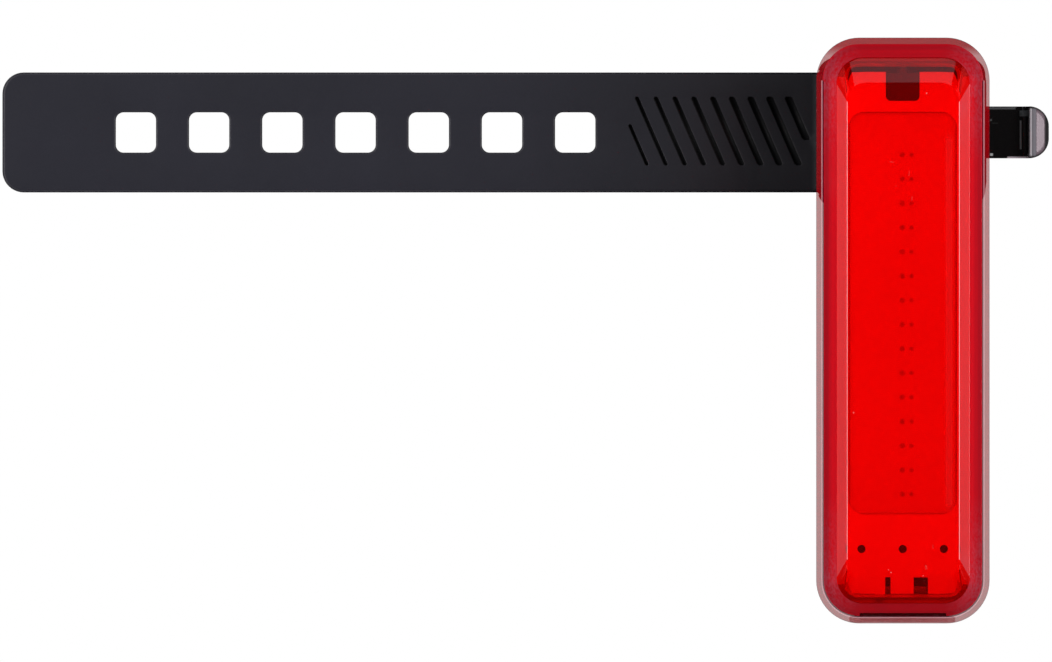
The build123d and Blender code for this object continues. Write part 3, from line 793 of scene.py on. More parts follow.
@dataclass(frozen=True)
class ClearRed:
    """Red acrylic, which lets the studio's light through to the tray.

    The band is a strip that the mould left less polished: its limits across and up, in metres. The sheen
    is a painted reflection, a paler pink tint towards the ends of the long bevels. The mirror tints the
    reflections, and the ripple is the strength and depth of the relief.
    """

    name: str = "lens_red_clear"
    tint: Colour = (0.95, 0.0, 0.0)
    shadow: Colour = (0.98, 0.60, 0.60)
    ior: float = 1.49
    rough: float = 0.008
    clear: float = 1.0
    mirror: Colour = WHITE
    band: Four = (0.0052, 0.0059, -0.0451, -0.0011)
    band_soft: Pair = (0.0003, 0.002)
    band_rough: float = 0.0
    grain: float = 300.0
    painted_sheen: Colour | None = None
    sheen_range: Pair = (0.020, 0.031)
    sheen_most: float = 0.6
    grain_rough: float = 0.012
    ripple: Pair = (0.02, 2e-5)

    def make(self) -> Material:
        """Builds the glass, with a clear tint in place of its shadow.

        Returns:
            The new material.
        """
        made = bpy.data.materials.new(self.name)
        nodes = Nodes.cleared(made)
        group = {"node_tree": grain_group()}
        grain = nodes.add("Group", group, Vector=nodes.coords, Scale=self.grain).outputs
        rough = nodes.math("ADD", nodes.math("MULTIPLY", grain["Mask"], self.grain_rough), self.rough)
        if self.band_rough:
            across = nodes.within(nodes.axes[0], *self.band[:2], self.band_soft[0])
            upwards = nodes.within(nodes.axes[2], *self.band[2:], self.band_soft[1])
            rough = nodes.math("ADD", rough, nodes.math("MULTIPLY", across, upwards, self.band_rough))
        tint = self.tint
        # painted reflection: the tint turns pink towards the ends of the long bevels, on faces that look
        # sideways
        if self.painted_sheen:
            apart = nodes.math("ABSOLUTE", nodes.math("SUBTRACT", nodes.axes[2], LENS_LEVEL * MM))
            near = nodes.remap(apart, *self.sheen_range)
            side = nodes.math("MULTIPLY", nodes.math("ABSOLUTE", nodes.facing[0]), grain["Mask"])
            tint = nodes.blend(nodes.math("MULTIPLY", near, side, self.sheen_most), self.tint, self.painted_sheen)
        strength, depth = self.ripple
        relief = nodes.add("Bump", Height=grain["Height"], Strength=strength, Distance=depth)
        glass = nodes.add(
            "BsdfPrincipled",
            Base_Color=tint,
            Roughness=rough,
            Normal=relief.outputs[0],
            IOR=self.ior,
            Transmission_Weight=self.clear,
            Specular_Tint=self.mirror,
        )
        nodes.add("OutputMaterial", Surface=nodes.let_through(glass.outputs[0], self.shadow))
        return made


@dataclass(frozen=True)
class PaleFloor:
    """Pale floor whose edge fades away, clear from underneath."""

    name: str = "floor_pale"
    colour: Colour = (0.9, 0.9, 0.9)
    rough: float = 0.6
    fade: Pair = (0.28, 0.50)

    def make(self) -> Material:
        """Builds the material.

        Returns:
            The new material.
        """
        made = bpy.data.materials.new(self.name)
        nodes = Nodes.cleared(made)
        apart = nodes.add("VectorMath", {"operation": "LENGTH"})
        nodes.put(apart, 0, nodes.coords)
        alpha = nodes.remap(apart.outputs["Value"], *self.fade, 1.0, 0.0)
        shader = nodes.add("BsdfPrincipled", Base_Color=self.colour, Roughness=self.rough, Alpha=alpha)
        under = nodes.add("NewGeometry").outputs["Backfacing"]
        clear = nodes.add("BsdfTransparent").outputs[0]
        nodes.add("OutputMaterial", Surface=nodes.mix(under, shader.outputs[0], clear))
        return made


@cache
def material(finish: Finish | ClearRed | PaleFloor) -> Material:
    """Gives a finish's material, built on its first use."""
    return finish.make()


# painted reflection: the pink that the steep walls and bevels turn towards their ends
SHEEN_PINK = (0.62, 0.16, 0.24)
RIM_GLOW = (0.96, 0.92, 0.92)
LENS_FINISHES = {
    Face.CLEAR: ClearRed(tint=(0.90, 0.0, 0.0), clear=0.94, band_rough=0.28),
    # painted shade: the rim turns more opaque and darker towards the light's top
    Face.RIM: Finish(
        "lens_rim_haze", (0.36, 0.0, 0.006), (0.32, 0.0, 0.004), (0.10, 0.18),
        bump=0.001, specular=0.08, alpha=0.50, top_shade_alpha=0.77, shadow=RIM_GLOW,
    ),
    Face.SIDE: ClearRed("lens_red_side", (0.97, 0.002, 0.006), rough=0.35, clear=0.05),
    # painted highlight along the long edges of the lens's flat front
    Face.FRONT_EDGE_HIGHLIGHT: Finish(
        "lens_edge_painted_highlight", (1.0, 0.60, 0.64), (0.97, 0.52, 0.56), (0.15, 0.25), bump=0.005, alpha=0.92
    ),
    Face.STEEP: ClearRed(
        "lens_red_steep", (0.84, 0.008, 0.024), rough=0.13, clear=0.35, grain=2600.0, painted_sheen=SHEEN_PINK
    ),
    # painted shade: a dark outline along the rim's outer edge and the walls' lowest faces
    Face.OUTLINE_SHADE: Finish(
        "lens_rim_outline_shade", (0.10, 0.002, 0.018), (0.08, 0.001, 0.014), (0.2, 0.3),
        bump=0.004, specular=0.1, alpha=0.8, shadow=RIM_GLOW,
    ),
    Face.SOFT: ClearRed("lens_red_soft", rough=0.03),
    # painted highlight: a pale line where the rim meets the facets
    Face.SEAM_HIGHLIGHT: Finish(
        "lens_seam_painted_highlight", (0.85, 0.50, 0.56), (0.78, 0.45, 0.50), (0.15, 0.25),
        bump=0.004, alpha=0.6, shadow=RIM_GLOW,
    ),
    Face.END: ClearRed("lens_red_end", (0.50, 0.001, 0.004), rough=0.35, clear=0.2),
    Face.BEVEL: ClearRed("lens_red_bevel", (0.97, 0.012, 0.022), rough=0.06, clear=0.55, painted_sheen=SHEEN_PINK),
    Face.FOOT: Finish(
        "lens_foot_shade", (0.03, 0.0, 0.0), (0.025, 0.0, 0.0), (0.2, 0.3),
        bump=0.004, specular=0.1, alpha=0.9, shadow=RIM_GLOW,
    ),
    Face.CORNER: ClearRed(
        "lens_red_corner", (0.84, 0.0, 0.0), rough=0.04, clear=0.9, mirror=(0.5, 0.03, 0.03)
    ),
}
STRAP_FINISHES = {
    # the strap's plain and rolled faces carry a painted shade that darkens them towards the light's body
    Band.PLAIN: StrapShadeFinish(
        "strap_slate_silicone", (0.024, 0.024, 0.036), (0.021, 0.021, 0.031), (0.50, 0.64),
        2600.0, 0.03, specular=0.3, specks=0.12,
    ),
    # painted highlight on the front of the rolled edges and the grooves' lit sides
    Band.ROLL_HIGHLIGHT: StrapShadeFinish(
        "strap_rolled_edge_highlight", (0.045, 0.044, 0.056), (0.040, 0.039, 0.050), (0.40, 0.52), 2600.0, specular=0.4
    ),
    # painted shade: the grooves' walls and floors
    Band.GROOVE_SHADE: Finish(
        "strap_groove_shade", (0.0035, 0.0035, 0.0045), (0.005, 0.005, 0.006), (0.55, 0.7),
        2600.0, specular=0.2,
    ),
}
COVER = Finish(
    "cover_frosted_silicone", (0.92, 0.90, 0.91), (0.87, 0.85, 0.86), (0.45, 0.6),
    1800.0, specular=0.35, alpha=0.88,
)
SPECK = Finish("lens_dust_specks", (0.95, 0.40, 0.40), (0.85, 0.32, 0.32), (0.5, 0.6), 4000.0, alpha=0.5)
FAINT = Finish("lens_faint_marks", (0.90, 0.25, 0.22), (0.80, 0.20, 0.18), (0.5, 0.6), 4000.0, alpha=0.10)
RUBBER = Finish(
    "pad_soft_rubber", (0.040, 0.040, 0.043), (0.050, 0.050, 0.052), (0.62, 0.80),
    2200.0, 0.05, specular=0.25, specks=0.2,
)
BUTTON = Finish(
    "button_soft_rubber", (0.030, 0.030, 0.032), (0.036, 0.036, 0.038), (0.55, 0.7),
    2600.0, 0.03, specular=0.3, specks=0.1,
)
SEAL = Finish("seal_black_rubber", (0.020, 0.020, 0.020), (0.028, 0.028, 0.028), (0.6, 0.75))
# partly painted shade: dark marks that stand for the lamp's pads seen through the diffuser
LAMP_MARK = Finish("lamp_pads_and_shade", (0.03, 0.02, 0.02), (0.05, 0.03, 0.03), (0.5, 0.6), 3000.0, alpha=0.15)
SWITCH = Finish("switch_black_nylon", (0.010, 0.010, 0.011), (0.014, 0.014, 0.015), (0.4, 0.5))
STEEL = Finish(
    "socket_tinned_steel", (0.60, 0.60, 0.61), (0.50, 0.50, 0.51), (0.22, 0.35),
    1500.0, metallic=1.0, run=Grain.ACROSS,
)
DRESSING = {
    "rear_housing": Finish(
        "housing_spark_black", (0.018, 0.018, 0.020), (0.023, 0.023, 0.025), (0.42, 0.60),
        3200.0, 0.06, specks=0.08,
    ),
    "reflector_tray": Finish(
        "tray_white_moulded", (0.84, 0.83, 0.82), (0.78, 0.77, 0.76), (0.35, 0.5), 1500.0, 0.01
    ),
    "led_board": Finish("lamp_board_white", (0.82, 0.82, 0.80), (0.77, 0.77, 0.75), (0.4, 0.5), 3500.0, 0.01),
    "led_chips": Finish(
        "lamp_package_cream", (0.80, 0.77, 0.68), (0.74, 0.70, 0.60), (0.25, 0.4), 3000.0, 0.01
    ),
    "diffuser": Finish(
        "diffuser_milky", (0.95, 0.95, 0.95), (0.92, 0.92, 0.92), (0.25, 0.35), 900.0, 0.004, alpha=0.60
    ),
    "lamp_pins": Finish("contact_plated", (0.78, 0.60, 0.28), (0.70, 0.52, 0.22), (0.2, 0.35), metallic=1.0),
    "main_board": Finish(
        "main_board_green", (0.02, 0.13, 0.06), (0.015, 0.10, 0.05), (0.3, 0.42), 4000.0, coat=0.3
    ),
    "driver_chips": Finish(
        "chip_epoxy_black", (0.018, 0.018, 0.019), (0.026, 0.026, 0.027), (0.5, 0.6), 3500.0
    ),
    "chip_parts": Finish("part_tan_ceramic", (0.40, 0.28, 0.18), (0.30, 0.21, 0.13), (0.35, 0.45), 3500.0),
    "status_lamps": Finish(
        "window_lamp_dark", (0.006, 0.006, 0.008), (0.010, 0.010, 0.012), (0.15, 0.25), 3000.0, 0.004
    ),
    "battery_cell": Finish(
        "cell_foil_silver", (0.66, 0.66, 0.68), (0.58, 0.58, 0.60), (0.28, 0.42), 500.0, 0.05, metallic=0.9
    ),
    "battery_foam": Finish("pad_cell_foam", (0.08, 0.08, 0.085), (0.12, 0.12, 0.12), (0.8, 0.9), 1500.0, 0.1),
    "battery_tabs": Finish(
        "strip_nickel", (0.62, 0.60, 0.56), (0.54, 0.52, 0.48), (0.25, 0.38),
        1800.0, metallic=1.0, run=Grain.UPRIGHT,
    ),
    "switch_body": SWITCH,
    "switch_plunger": SWITCH,
    "usb_shell": STEEL,
    "usb_tongue": SWITCH,
    # painted reflections and highlights on the hook's end and edges
    "saddle_bracket": HookFinish(
        "saddle_black_painted_highlights", (0.0072, 0.0062, 0.0066), (0.009, 0.008, 0.0085), (0.08, 0.14), 900.0, 0.006
    ),
    "bracket_screws": Finish(
        "screw_zinc_steel", (0.50, 0.50, 0.50), (0.42, 0.42, 0.42), (0.25, 0.38), 1800.0, metallic=1.0
    ),
    "strap_pin": STEEL,
}
EDGES = {"saddle_bracket": 0.22, "rear_housing": 0.15}


def dress(node: str, finish: Finish) -> None:
    """Gives a CAD node's object a finish in all its material slots."""
    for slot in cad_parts[node].material_slots:
        slot.material = material(finish)


def soften(node: str, width: float, segments: int = 2, bend: float = 35.0) -> None:
    """Rounds a CAD node's sharp edges with modifiers, once its loose triangles are welded.

    Args:
        node: The node's name.
        width: Width of the rounding in millimetres.
        segments: Pieces across it.
        bend: The bend in degrees from which an edge is rounded.
    """
    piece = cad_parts[node]
    weld = piece.modifiers.new("weld", "WELD")
    weld.merge_threshold = WELDED
    bevel = piece.modifiers.new("bevel", "BEVEL")
    bevel.width = width * MM
    bevel.segments = segments
    bevel.limit_method = "ANGLE"
    bevel.angle_limit = math.radians(bend)
    bevel.harden_normals = True


def settle(piece: Piece, body: Body, node: str) -> Piece:
    """Makes a piece ride on its body and stand for a CAD node.

    Args:
        piece: The finished object.
        body: What it moves with.
        node: The node that it replaces.

    Returns:
        The same object.
    """
    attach(piece, body.value)
    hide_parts(node)
    return piece


# Sub-assemblies


@dataclass
class Lens:
    """Clear red cover with a flat rim, two bevels and a hollow behind.

    Sizes hold a width, a length and a corner radius. The seam is how much larger the rim's last ring
    but one is than the facets' foot. The foot's rings are parts of the way to the next ring. Levels
    are measured from the lens's middle. Gaps are the first and the end of a run of gaps between rings.
    """

    flange_back: float = 27.3
    flange_front: float = 28.3
    middle: float = 30.9
    front: float = 31.8
    skirt_back: float = 26.0
    rim_size: Three = (21.0, 71.0, 5.2)
    base_size: Three = (19.5, 69.45, 4.42)
    middle_size: Three = (16.1, 66.1, 3.2)
    flat_size: Three = (13.6, 60.0, 2.3)
    front_size: Three = (11.6, 58.0, 1.1)
    skirt_size: Three = (16.1, 66.1, 2.75)
    mouth_size: Three = (14.3, 64.3, 1.6)
    pocket_size: Three = (14.0, 64.3, 1.6)
    inner_size: Three = (13.5, 59.74, 1.4)
    roof: float = 30.6
    pocket_top: float = 29.45
    corner_steps: int = 14
    rim_bend: float = 0.3
    facet_bend: float = 0.22
    seam: Four = (0.0, 0.30, 0.30, 0.15)
    foot_rings: Pair = (0.09, 0.30)
    outline_shade_gaps: tuple[int, int] = (3, 8)
    highlight_gaps: tuple[int, int] = (-4, -2)
    outline_top: float = 30.0
    shade_top: float = -33.0
    shade_length: float = 5.0
    side_from: float = 5.0
    side_length: float = 20.0
    corner_from: float = 6.4
    corner_length: float = 3.0
    margin: float = 0.05
    hair: float = 0.001
    sharp: float = 24.0

    def rings(self, sections: Array | list) -> Array:
        """Turns rows of depth, width, length and corner into rings of rounded rectangles."""
        steps = self.corner_steps
        return np.stack([place(rounded_outline(w, h, r, steps), d) for d, w, h, r in sections])

    def build(self) -> Piece:
        """Makes the closed shell: down the hollow from its roof, round the skirt and out to the front.

        Returns:
            The lens.
        """
        shell = Shell()
        hollow = self.rings([
            (self.roof, *self.inner_size),
            (self.pocket_top, *self.pocket_size),
            (self.skirt_back, *self.mouth_size),
        ])
        skirt = self.rings([
            (self.skirt_back, *self.mouth_size),
            (self.skirt_back, *self.skirt_size),
            (self.flange_back, *self.skirt_size),
        ])
        rim = softened(np.array([
            (self.flange_back, *self.skirt_size),
            (self.flange_back, *self.rim_size),
            (self.flange_front, *self.rim_size),
            (self.flange_front, *self.base_size),
        ]), self.rim_bend)
        rim = self.rings(np.vstack([rim[:-1], rim[-1:] + self.seam, rim[-1:]]))
        facets = softened(np.array([
            (self.flange_front, *self.base_size),
            (self.middle, *self.middle_size),
            (self.front, *self.flat_size),
            (self.front, *self.front_size),
        ]), self.facet_bend)
        foot = facets[:1] + np.array(self.foot_rings)[:, None] * (facets[1:2] - facets[:1])
        outer = self.rings(np.vstack([facets[:1], foot, facets[1:]]))
        shell.loft(hollow, self.wall_slots(hollow, Face.SOFT), caps="first")
        shell.loft(skirt, self.wall_slots(skirt, Face.END))
        banded = np.full((len(rim) - 1, rim.shape[1]), Face.RIM)
        # painted shade: a dark outline round the rim's outer bend
        banded[slice(*self.outline_shade_gaps)] = Face.OUTLINE_SHADE
        # painted highlight along the rim's last ring, except at the top
        seamed = self.middles(rim)[-1, :, 2] - LENS_LEVEL < self.outline_top
        banded[-1] = np.where(seamed, Face.SEAM_HIGHLIGHT, Face.RIM)
        shell.loft(rim, banded)
        shell.loft(outer, self.facet_slots(outer), caps="last")
        piece = shell.mesh("lens_cover", tuple(LENS_FINISHES.values()), self.sharp)
        return settle(piece, Body.LIGHT, "lens")

    def middles(self, rings: Array) -> Array:
        """Gives the middle of each face between neighbouring rings."""
        along = (rings[:-1] + rings[1:]) / 2
        return (along + np.roll(along, -1, axis=1)) / 2

    def wall_slots(self, rings: Array, first: Face) -> Array:
        """Parts the inner walls: bright along the sides and darker round the ends.

        Args:
            rings: The rings of the walls.
            first: The kind of the first gap's ends, and of a face that closes its ring.

        Returns:
            A slot for each gap between rings and each point.
        """
        level = np.abs(self.middles(rings)[..., 2] - LENS_LEVEL)
        slots = np.where(level < self.inner_size[1] / 2, Face.SIDE, Face.END)
        slots[0] = np.where(slots[0] == Face.END, first, Face.SIDE)
        slots[0, 0] = first
        return slots

    def facet_slots(self, outer: Array) -> Array:
        """Parts the outside: steep walls, the bevels, the clear front, and painted light along them.

        The walls' lowest faces get a painted dark outline, and near the bottom a painted shade along their
        foot. A face gets the painted highlight of a bright edge when it lies in the last bend, beside the
        flat and short of its corners.

        Args:
            outer: The rings of the facets.

        Returns:
            A slot for each gap between rings and each point.
        """
        middle = self.middles(outer)
        across = np.abs(middle[..., 0])
        depth = -middle[..., 1]
        level = middle[..., 2] - LENS_LEVEL
        length = np.linalg.norm(outer[1:] - np.roll(outer[1:], -1, axis=1), axis=2)
        side = across > self.side_from
        # faces for the painted highlight along the front's long edges
        edge = (length > self.side_length) & side
        first, end = self.highlight_gaps
        edge[:first] = False
        edge[end:] = False
        steep = depth < self.middle - self.margin
        corner = (length < self.corner_length) & (across > self.corner_from)
        corner &= depth < self.front - self.hair
        bevel = (depth < self.front - self.margin) & (np.abs(level) < self.flat_size[1] / 2) & side
        kinds = [Face.FRONT_EDGE_HIGHLIGHT, Face.STEEP, Face.CORNER, Face.BEVEL]
        slots = np.select([edge, steep, corner, bevel], kinds, Face.CLEAR)
        # painted shade: a dark outline along the walls' lowest faces, except at the top
        slots[0] = np.where(level[0] < self.outline_top, Face.OUTLINE_SHADE, Face.STEEP)
        shaded = (level[1] < self.shade_top) & (length[1] > self.shade_length)
        slots[1] = np.where(shaded, Face.FOOT, Face.STEEP)
        return slots


@dataclass
class Strap:
    """Silicone strap: rolled edges, square holes, slanted grip grooves and an eye round its pin.

    The field holds the limits of the grooves along and across. The net holds the first place, the last
    place and the number of the extra points along and across the bend before the eye. The front of the
    rolled edges and a groove loop's lit points, its right side, get a painted highlight, and the rest of
    the grooves a painted shade. The edge's points lie evenly from the free end to the first place of the
    runs, between the next two, and from the last one to the eye. A groove's ends are cut by the first
    number of its softness or by that part of its half width.
    """

    depth: float = 14.0
    half: float = 1.0
    width: float = 14.6
    reach: float = 109.4
    corner: float = 2.6
    pin_x: float = 8.0513
    eye: float = 2.2
    blend: float = 2.0
    roll: float = 0.42
    hole: float = 4.9
    hole_corner: float = 0.95
    hole_roll: float = 0.28
    holes: int = 7
    pitch: float = 8.91
    nearest: float = 39.7
    grooves: int = 10
    groove_pitch: float = 2.306
    groove_nearest: float = 11.91
    groove_widths: Pair = (0.82, 0.36)
    groove_depth: float = 0.42
    groove_roll: float = 0.08
    groove_slant: float = 23.6
    groove_soft: Pair = (0.2, 0.6)
    field: Four = (-33.07, -11.51, -4.0, 4.3)
    end_gap: float = 0.12
    end_count: int = 12
    runs: Four = (-32.0, -30.0, -12.0, -11.5)
    run_counts: tuple[int, ...] = (30, 7, 40)
    corner_steps: int = 10
    roll_steps: int = 5
    shine_gaps: tuple[int, int] = (-4, -1)
    lit_gaps: int = 3
    net: tuple = ((-11.2, -6.35, 34), (-6.6, 6.6, 7))
    lit: tuple[int, ...] = (0, 6, 7)

    def outline(self) -> Array:
        """Gives the strap's outline: two rounded corners at the free end, small ones at the eye.

        Returns:
            A counterclockwise loop of x and z pairs.
        """
        top = self.width / 2
        quarter = quarter_turn(self.corner_steps)
        free = np.column_stack([
            -self.reach + self.corner - self.corner * np.sin(quarter),
            top - self.corner + self.corner * np.cos(quarter),
        ])
        eye_end = self.eye - self.pin_x
        places = (-self.reach + self.corner, *self.runs, eye_end - self.end_gap)
        stretches = zip(places[::2], places[1::2], self.run_counts)
        edge = np.concatenate([np.linspace(*stretch) for stretch in stretches])[1:]
        end_z = np.linspace(-top + self.end_gap, top - self.end_gap, self.end_count)
        lower = np.column_stack([edge, np.full(len(edge), -top)])
        right = np.column_stack([np.full(len(end_z), eye_end), end_z])
        upper = lower[::-1] * (1, -1)
        return np.vstack([free[::-1] * (1, -1), lower, right, upper, free])

    def groove_loops(self) -> list[Array]:
        """Gives the grooves as slanted strips, cut level where the gripped field ends.

        A groove's middle line leans by the slant, so it ends where the line leaves the field. The grooves
        narrow evenly away from the light.

        Returns:
            Counterclockwise loops.
        """
        low, high, floor, ceiling = self.field
        slant = math.radians(self.groove_slant)
        lean = math.tan(slant)
        x = -self.groove_nearest - np.arange(self.grooves) * self.groove_pitch
        top = np.minimum(ceiling, (x - low) / lean)
        bottom = np.maximum(floor, (x - high) / lean)
        halves = np.linspace(*self.groove_widths, self.grooves) / 2 / math.cos(slant)
        most, part = self.groove_soft
        loops = []
        for middle, half, up, down in zip(x, halves, top, bottom):
            soft = min(most, half * part)
            ends = [(half, down + soft), (half, up - soft), (half - soft, up), (soft - half, up)]
            ends += [(-half, up - soft), (-half, down + soft), (soft - half, down), (half - soft, down)]
            loops.append(np.array([(middle + side - end * lean, end) for side, end in ends]))
        return loops

    def hole_loops(self) -> list[Array]:
        """Gives the square holes' outlines, a pitch apart."""
        square = rounded_outline(self.hole, self.hole, self.hole_corner, steps=8)
        return [square + (-self.nearest - order * self.pitch, 0.0) for order in range(self.holes)]

    def rolled(self, loop: Array, roll: float, low: float, sign: float) -> Array:
        """Stacks rings up a wall to the front face, whose ends roll over by quarter circles.

        Args:
            loop: The wall's loop.
            roll: Radius of the rolled edge.
            low: Height of the wall's foot.
            sign: 1 where the material is inside the loop and -1 where it is outside.

        Returns:
            Array of rings by points by three, with height as the second number.
        """
        turn = quarter_turn(self.roll_steps)
        drawn = roll * (1 - np.sin(turn))
        drop = roll * (1 - np.cos(turn))
        inset = np.concatenate([drawn, drawn[::-1]])
        height = np.concatenate([low + drop, self.half - drop[::-1]])
        flat = loop[None] - sign * inset[:, None, None] * loop_normals(loop)[None]
        up = np.broadcast_to(height[:, None], flat.shape[:2])
        return np.stack([flat[..., 0], up, flat[..., 1]], axis=-1)

    def half_thickness(self, x: Array) -> Array:
        """Gives half the strap's thickness: flat, then a concave arc, then the eye's circle.

        Args:
            x: Places along the strap.

        Returns:
            Half the thickness at each place.
        """
        rise = self.half + self.blend
        gap = math.sqrt((self.eye + self.blend) ** 2 - rise**2)
        start = -self.pin_x - gap
        join = -self.pin_x - gap * self.eye / (self.eye + self.blend)
        arc = rise - np.sqrt(np.maximum(self.blend**2 - (x - start) ** 2, 0.0))
        round_eye = np.sqrt(np.maximum(self.eye**2 - (x + self.pin_x) ** 2, 0.0))
        return np.where(x < start, self.half, np.where(x < join, arc, round_eye))

    def warp(self, points: Array) -> Array:
        """Sets rows of x, height and z at the strap's depth, with the height scaled along the strap."""
        scale = self.half_thickness(points[:, 0]) / self.half
        return np.column_stack([points[:, 0], -self.depth - points[:, 1] * scale, points[:, 2]])

    def build(self) -> Piece:
        """Makes the strap from its two faces, its rolled walls and the grooves' floors.

        Returns:
            The strap.
        """
        shell = Shell()
        walls = self.rolled(self.outline(), self.roll, -self.half, 1.0)
        # painted highlight: the front rows of the rolled walls
        shine = np.full((len(walls) - 1, 1), Band.PLAIN)
        shine[slice(*self.shine_gaps)] = Band.ROLL_HIGHLIGHT
        shell.loft(walls, shine)
        openings = []
        for loop in self.hole_loops():
            ring = self.rolled(loop, self.hole_roll, -self.half, -1.0)
            openings.append(ring[-1][:, [0, 2]])
            shell.loft(ring, shine, flip=True)
        slits = []
        for loop in self.groove_loops():
            ring = self.rolled(loop, self.groove_roll, self.half - self.groove_depth, -1.0)
            ring = ring[self.roll_steps + 1 :]
            slits.append(ring[-1][:, [0, 2]])
            floor = ring[:1].copy()
            floor[..., 1] = self.half - self.groove_depth
            # painted shade in the groove, with a painted highlight on its lit side
            slots = np.full((len(ring), len(loop)), Band.GROOVE_SHADE)
            slots[-self.lit_gaps :, list(self.lit)] = Band.ROLL_HIGHLIGHT
            shell.loft(np.concatenate([floor, ring]), slots, flip=True)
            shell.add(floor[0], [list(range(len(loop)))], Band.GROOVE_SHADE)
        grid = np.meshgrid(*(np.linspace(*line) for line in self.net))
        extra = np.column_stack([values.ravel() for values in grid])
        extra = extra[~np.any([inside(extra, loop) for loop in slits], axis=0)]
        inner = walls[-1][:, [0, 2]]
        for height, gaps, flip in ((self.half, openings + slits, False), (-self.half, openings, True)):
            flat, triangles = sheet_between(inner, gaps, extra)
            points = np.column_stack([flat[:, 0], np.full(len(flat), height), flat[:, 1]])
            shell.add(points, [face[::-1] for face in triangles] if flip else triangles)
        piece = shell.mesh("strap_band", tuple(STRAP_FINISHES.values()), warp=self.warp)
        return settle(piece, Body.STRAP, "strap")


@dataclass
class SeatPad:
    """Ribbed rubber lining of the saddle: an arc swept along the post, with grooves across it.

    A groove's section holds places in parts of its width, and the part of its depth at each. The end
    steps are the distances of the rings from each end.
    """

    inner: float = 12.0
    outer: float = 13.6
    half_width: float = 10.42
    half_angle: float = 60.0
    height: float = 17.6
    corner: float = 2.8
    groove: float = 0.45
    grooves: int = 6
    groove_width: float = 1.1
    section: tuple = ((-0.5, 0.0), (-0.34, 1.0), (0.34, 1.0), (0.5, 0.0))
    end_steps: tuple[float, ...] = (0.0, 0.3, 0.65, 1.1, 1.6)
    end_edge: float = 0.35
    end_corner: float = 0.55
    steepest: float = 0.86
    side_fade: float = 0.08
    around: int = 49

    def build(self) -> Piece:
        """Makes the pad: at each height a ring goes along the inner arc and back along the outer one.

        The inner radius grows by the groove's depth inside each groove, with sloped sides.

        Returns:
            The pad.
        """
        pitch = self.height / (self.grooves + 1)
        centres = -self.height / 2 + pitch * np.arange(1, self.grooves + 1)
        steps, sunk = np.array(self.section).T
        ends = self.height / 2 - np.array(self.end_steps)
        ribs = (centres[:, None] + steps * self.groove_width).ravel()
        levels = np.concatenate([-ends, ribs, ends[::-1]])
        cut = np.zeros(len(levels))
        cut[len(ends) : -len(ends)] = np.tile(sunk, self.grooves) * self.groove
        cut[[0, -1]] = self.end_edge
        near = np.maximum(np.abs(levels) - (self.height / 2 - self.corner), 0.0)
        reach = self.half_width - self.corner + np.sqrt(np.maximum(self.corner**2 - near**2, 0.0))
        reach[[0, -1]] = self.half_width - self.corner * self.end_corner
        spread = np.linspace(-1.0, 1.0, self.around)
        slope = np.arcsin(np.minimum(reach / self.inner, self.steepest))
        limit = np.minimum(math.radians(self.half_angle), slope)
        fade = np.clip((1.0 - np.abs(spread)) / self.side_fade, 0.0, 1.0)
        radius = self.inner + cut[:, None] * fade[None]
        angle = spread[None] * limit[:, None]
        wide = np.arcsin(np.minimum(reach, self.half_width) / self.outer)
        back = -spread[None] * wide[:, None]
        x = np.concatenate([radius * np.sin(angle), self.outer * np.sin(back)], axis=1)
        y = np.concatenate([-radius * np.cos(angle), -self.outer * np.cos(back)], axis=1)
        z = np.broadcast_to(levels[:, None], x.shape)
        shell = Shell().solid(np.stack([x, y, z], axis=-1)[:, ::-1], flip=True)
        piece = shell.mesh("saddle_lining", (RUBBER,), sharp=30.0)
        return settle(piece, Body.LIGHT, "saddle_pad")


@dataclass
class Button:
    """Rubber power button: a domed head with a shallow ring and its flange inside the housing."""

    width: float = 7.0
    thickness: float = 3.2
    depth: float = 23.7
    flange: float = 0.5
    flange_thickness: float = 0.65
    dome: float = 0.45
    dish: tuple = ((0.75, 0.0), (0.85, 0.14), (1.0, 0.16), (1.3, 0.12), (1.55, 0.11))

    def build(self) -> Piece:
        """Makes the head from slots that draw in and rise along a quarter circle, dished in its middle.

        Returns:
            The button.
        """
        low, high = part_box("button_cap")
        foot, top = low[2] / MM, high[2] / MM
        shoulder = foot + self.flange_thickness
        rows = [(-self.flange, foot), (-self.flange, shoulder), (0.0, shoulder)]
        for turn in quarter_turn(steps=5):
            rows.append((self.dome * (1 - math.cos(turn)), top - self.dome + self.dome * math.sin(turn)))
        rows += [(inset, top - sunk) for inset, sunk in self.dish]
        shell = Shell().solid([
            level_ring(slot_outline(self.width - 2 * inset, self.thickness - 2 * inset), height, self.depth)
            for inset, height in rows
        ])
        piece = shell.mesh("power_button", (BUTTON,), sharp=50.0)
        return settle(piece, Body.BUTTON, "button_cap")


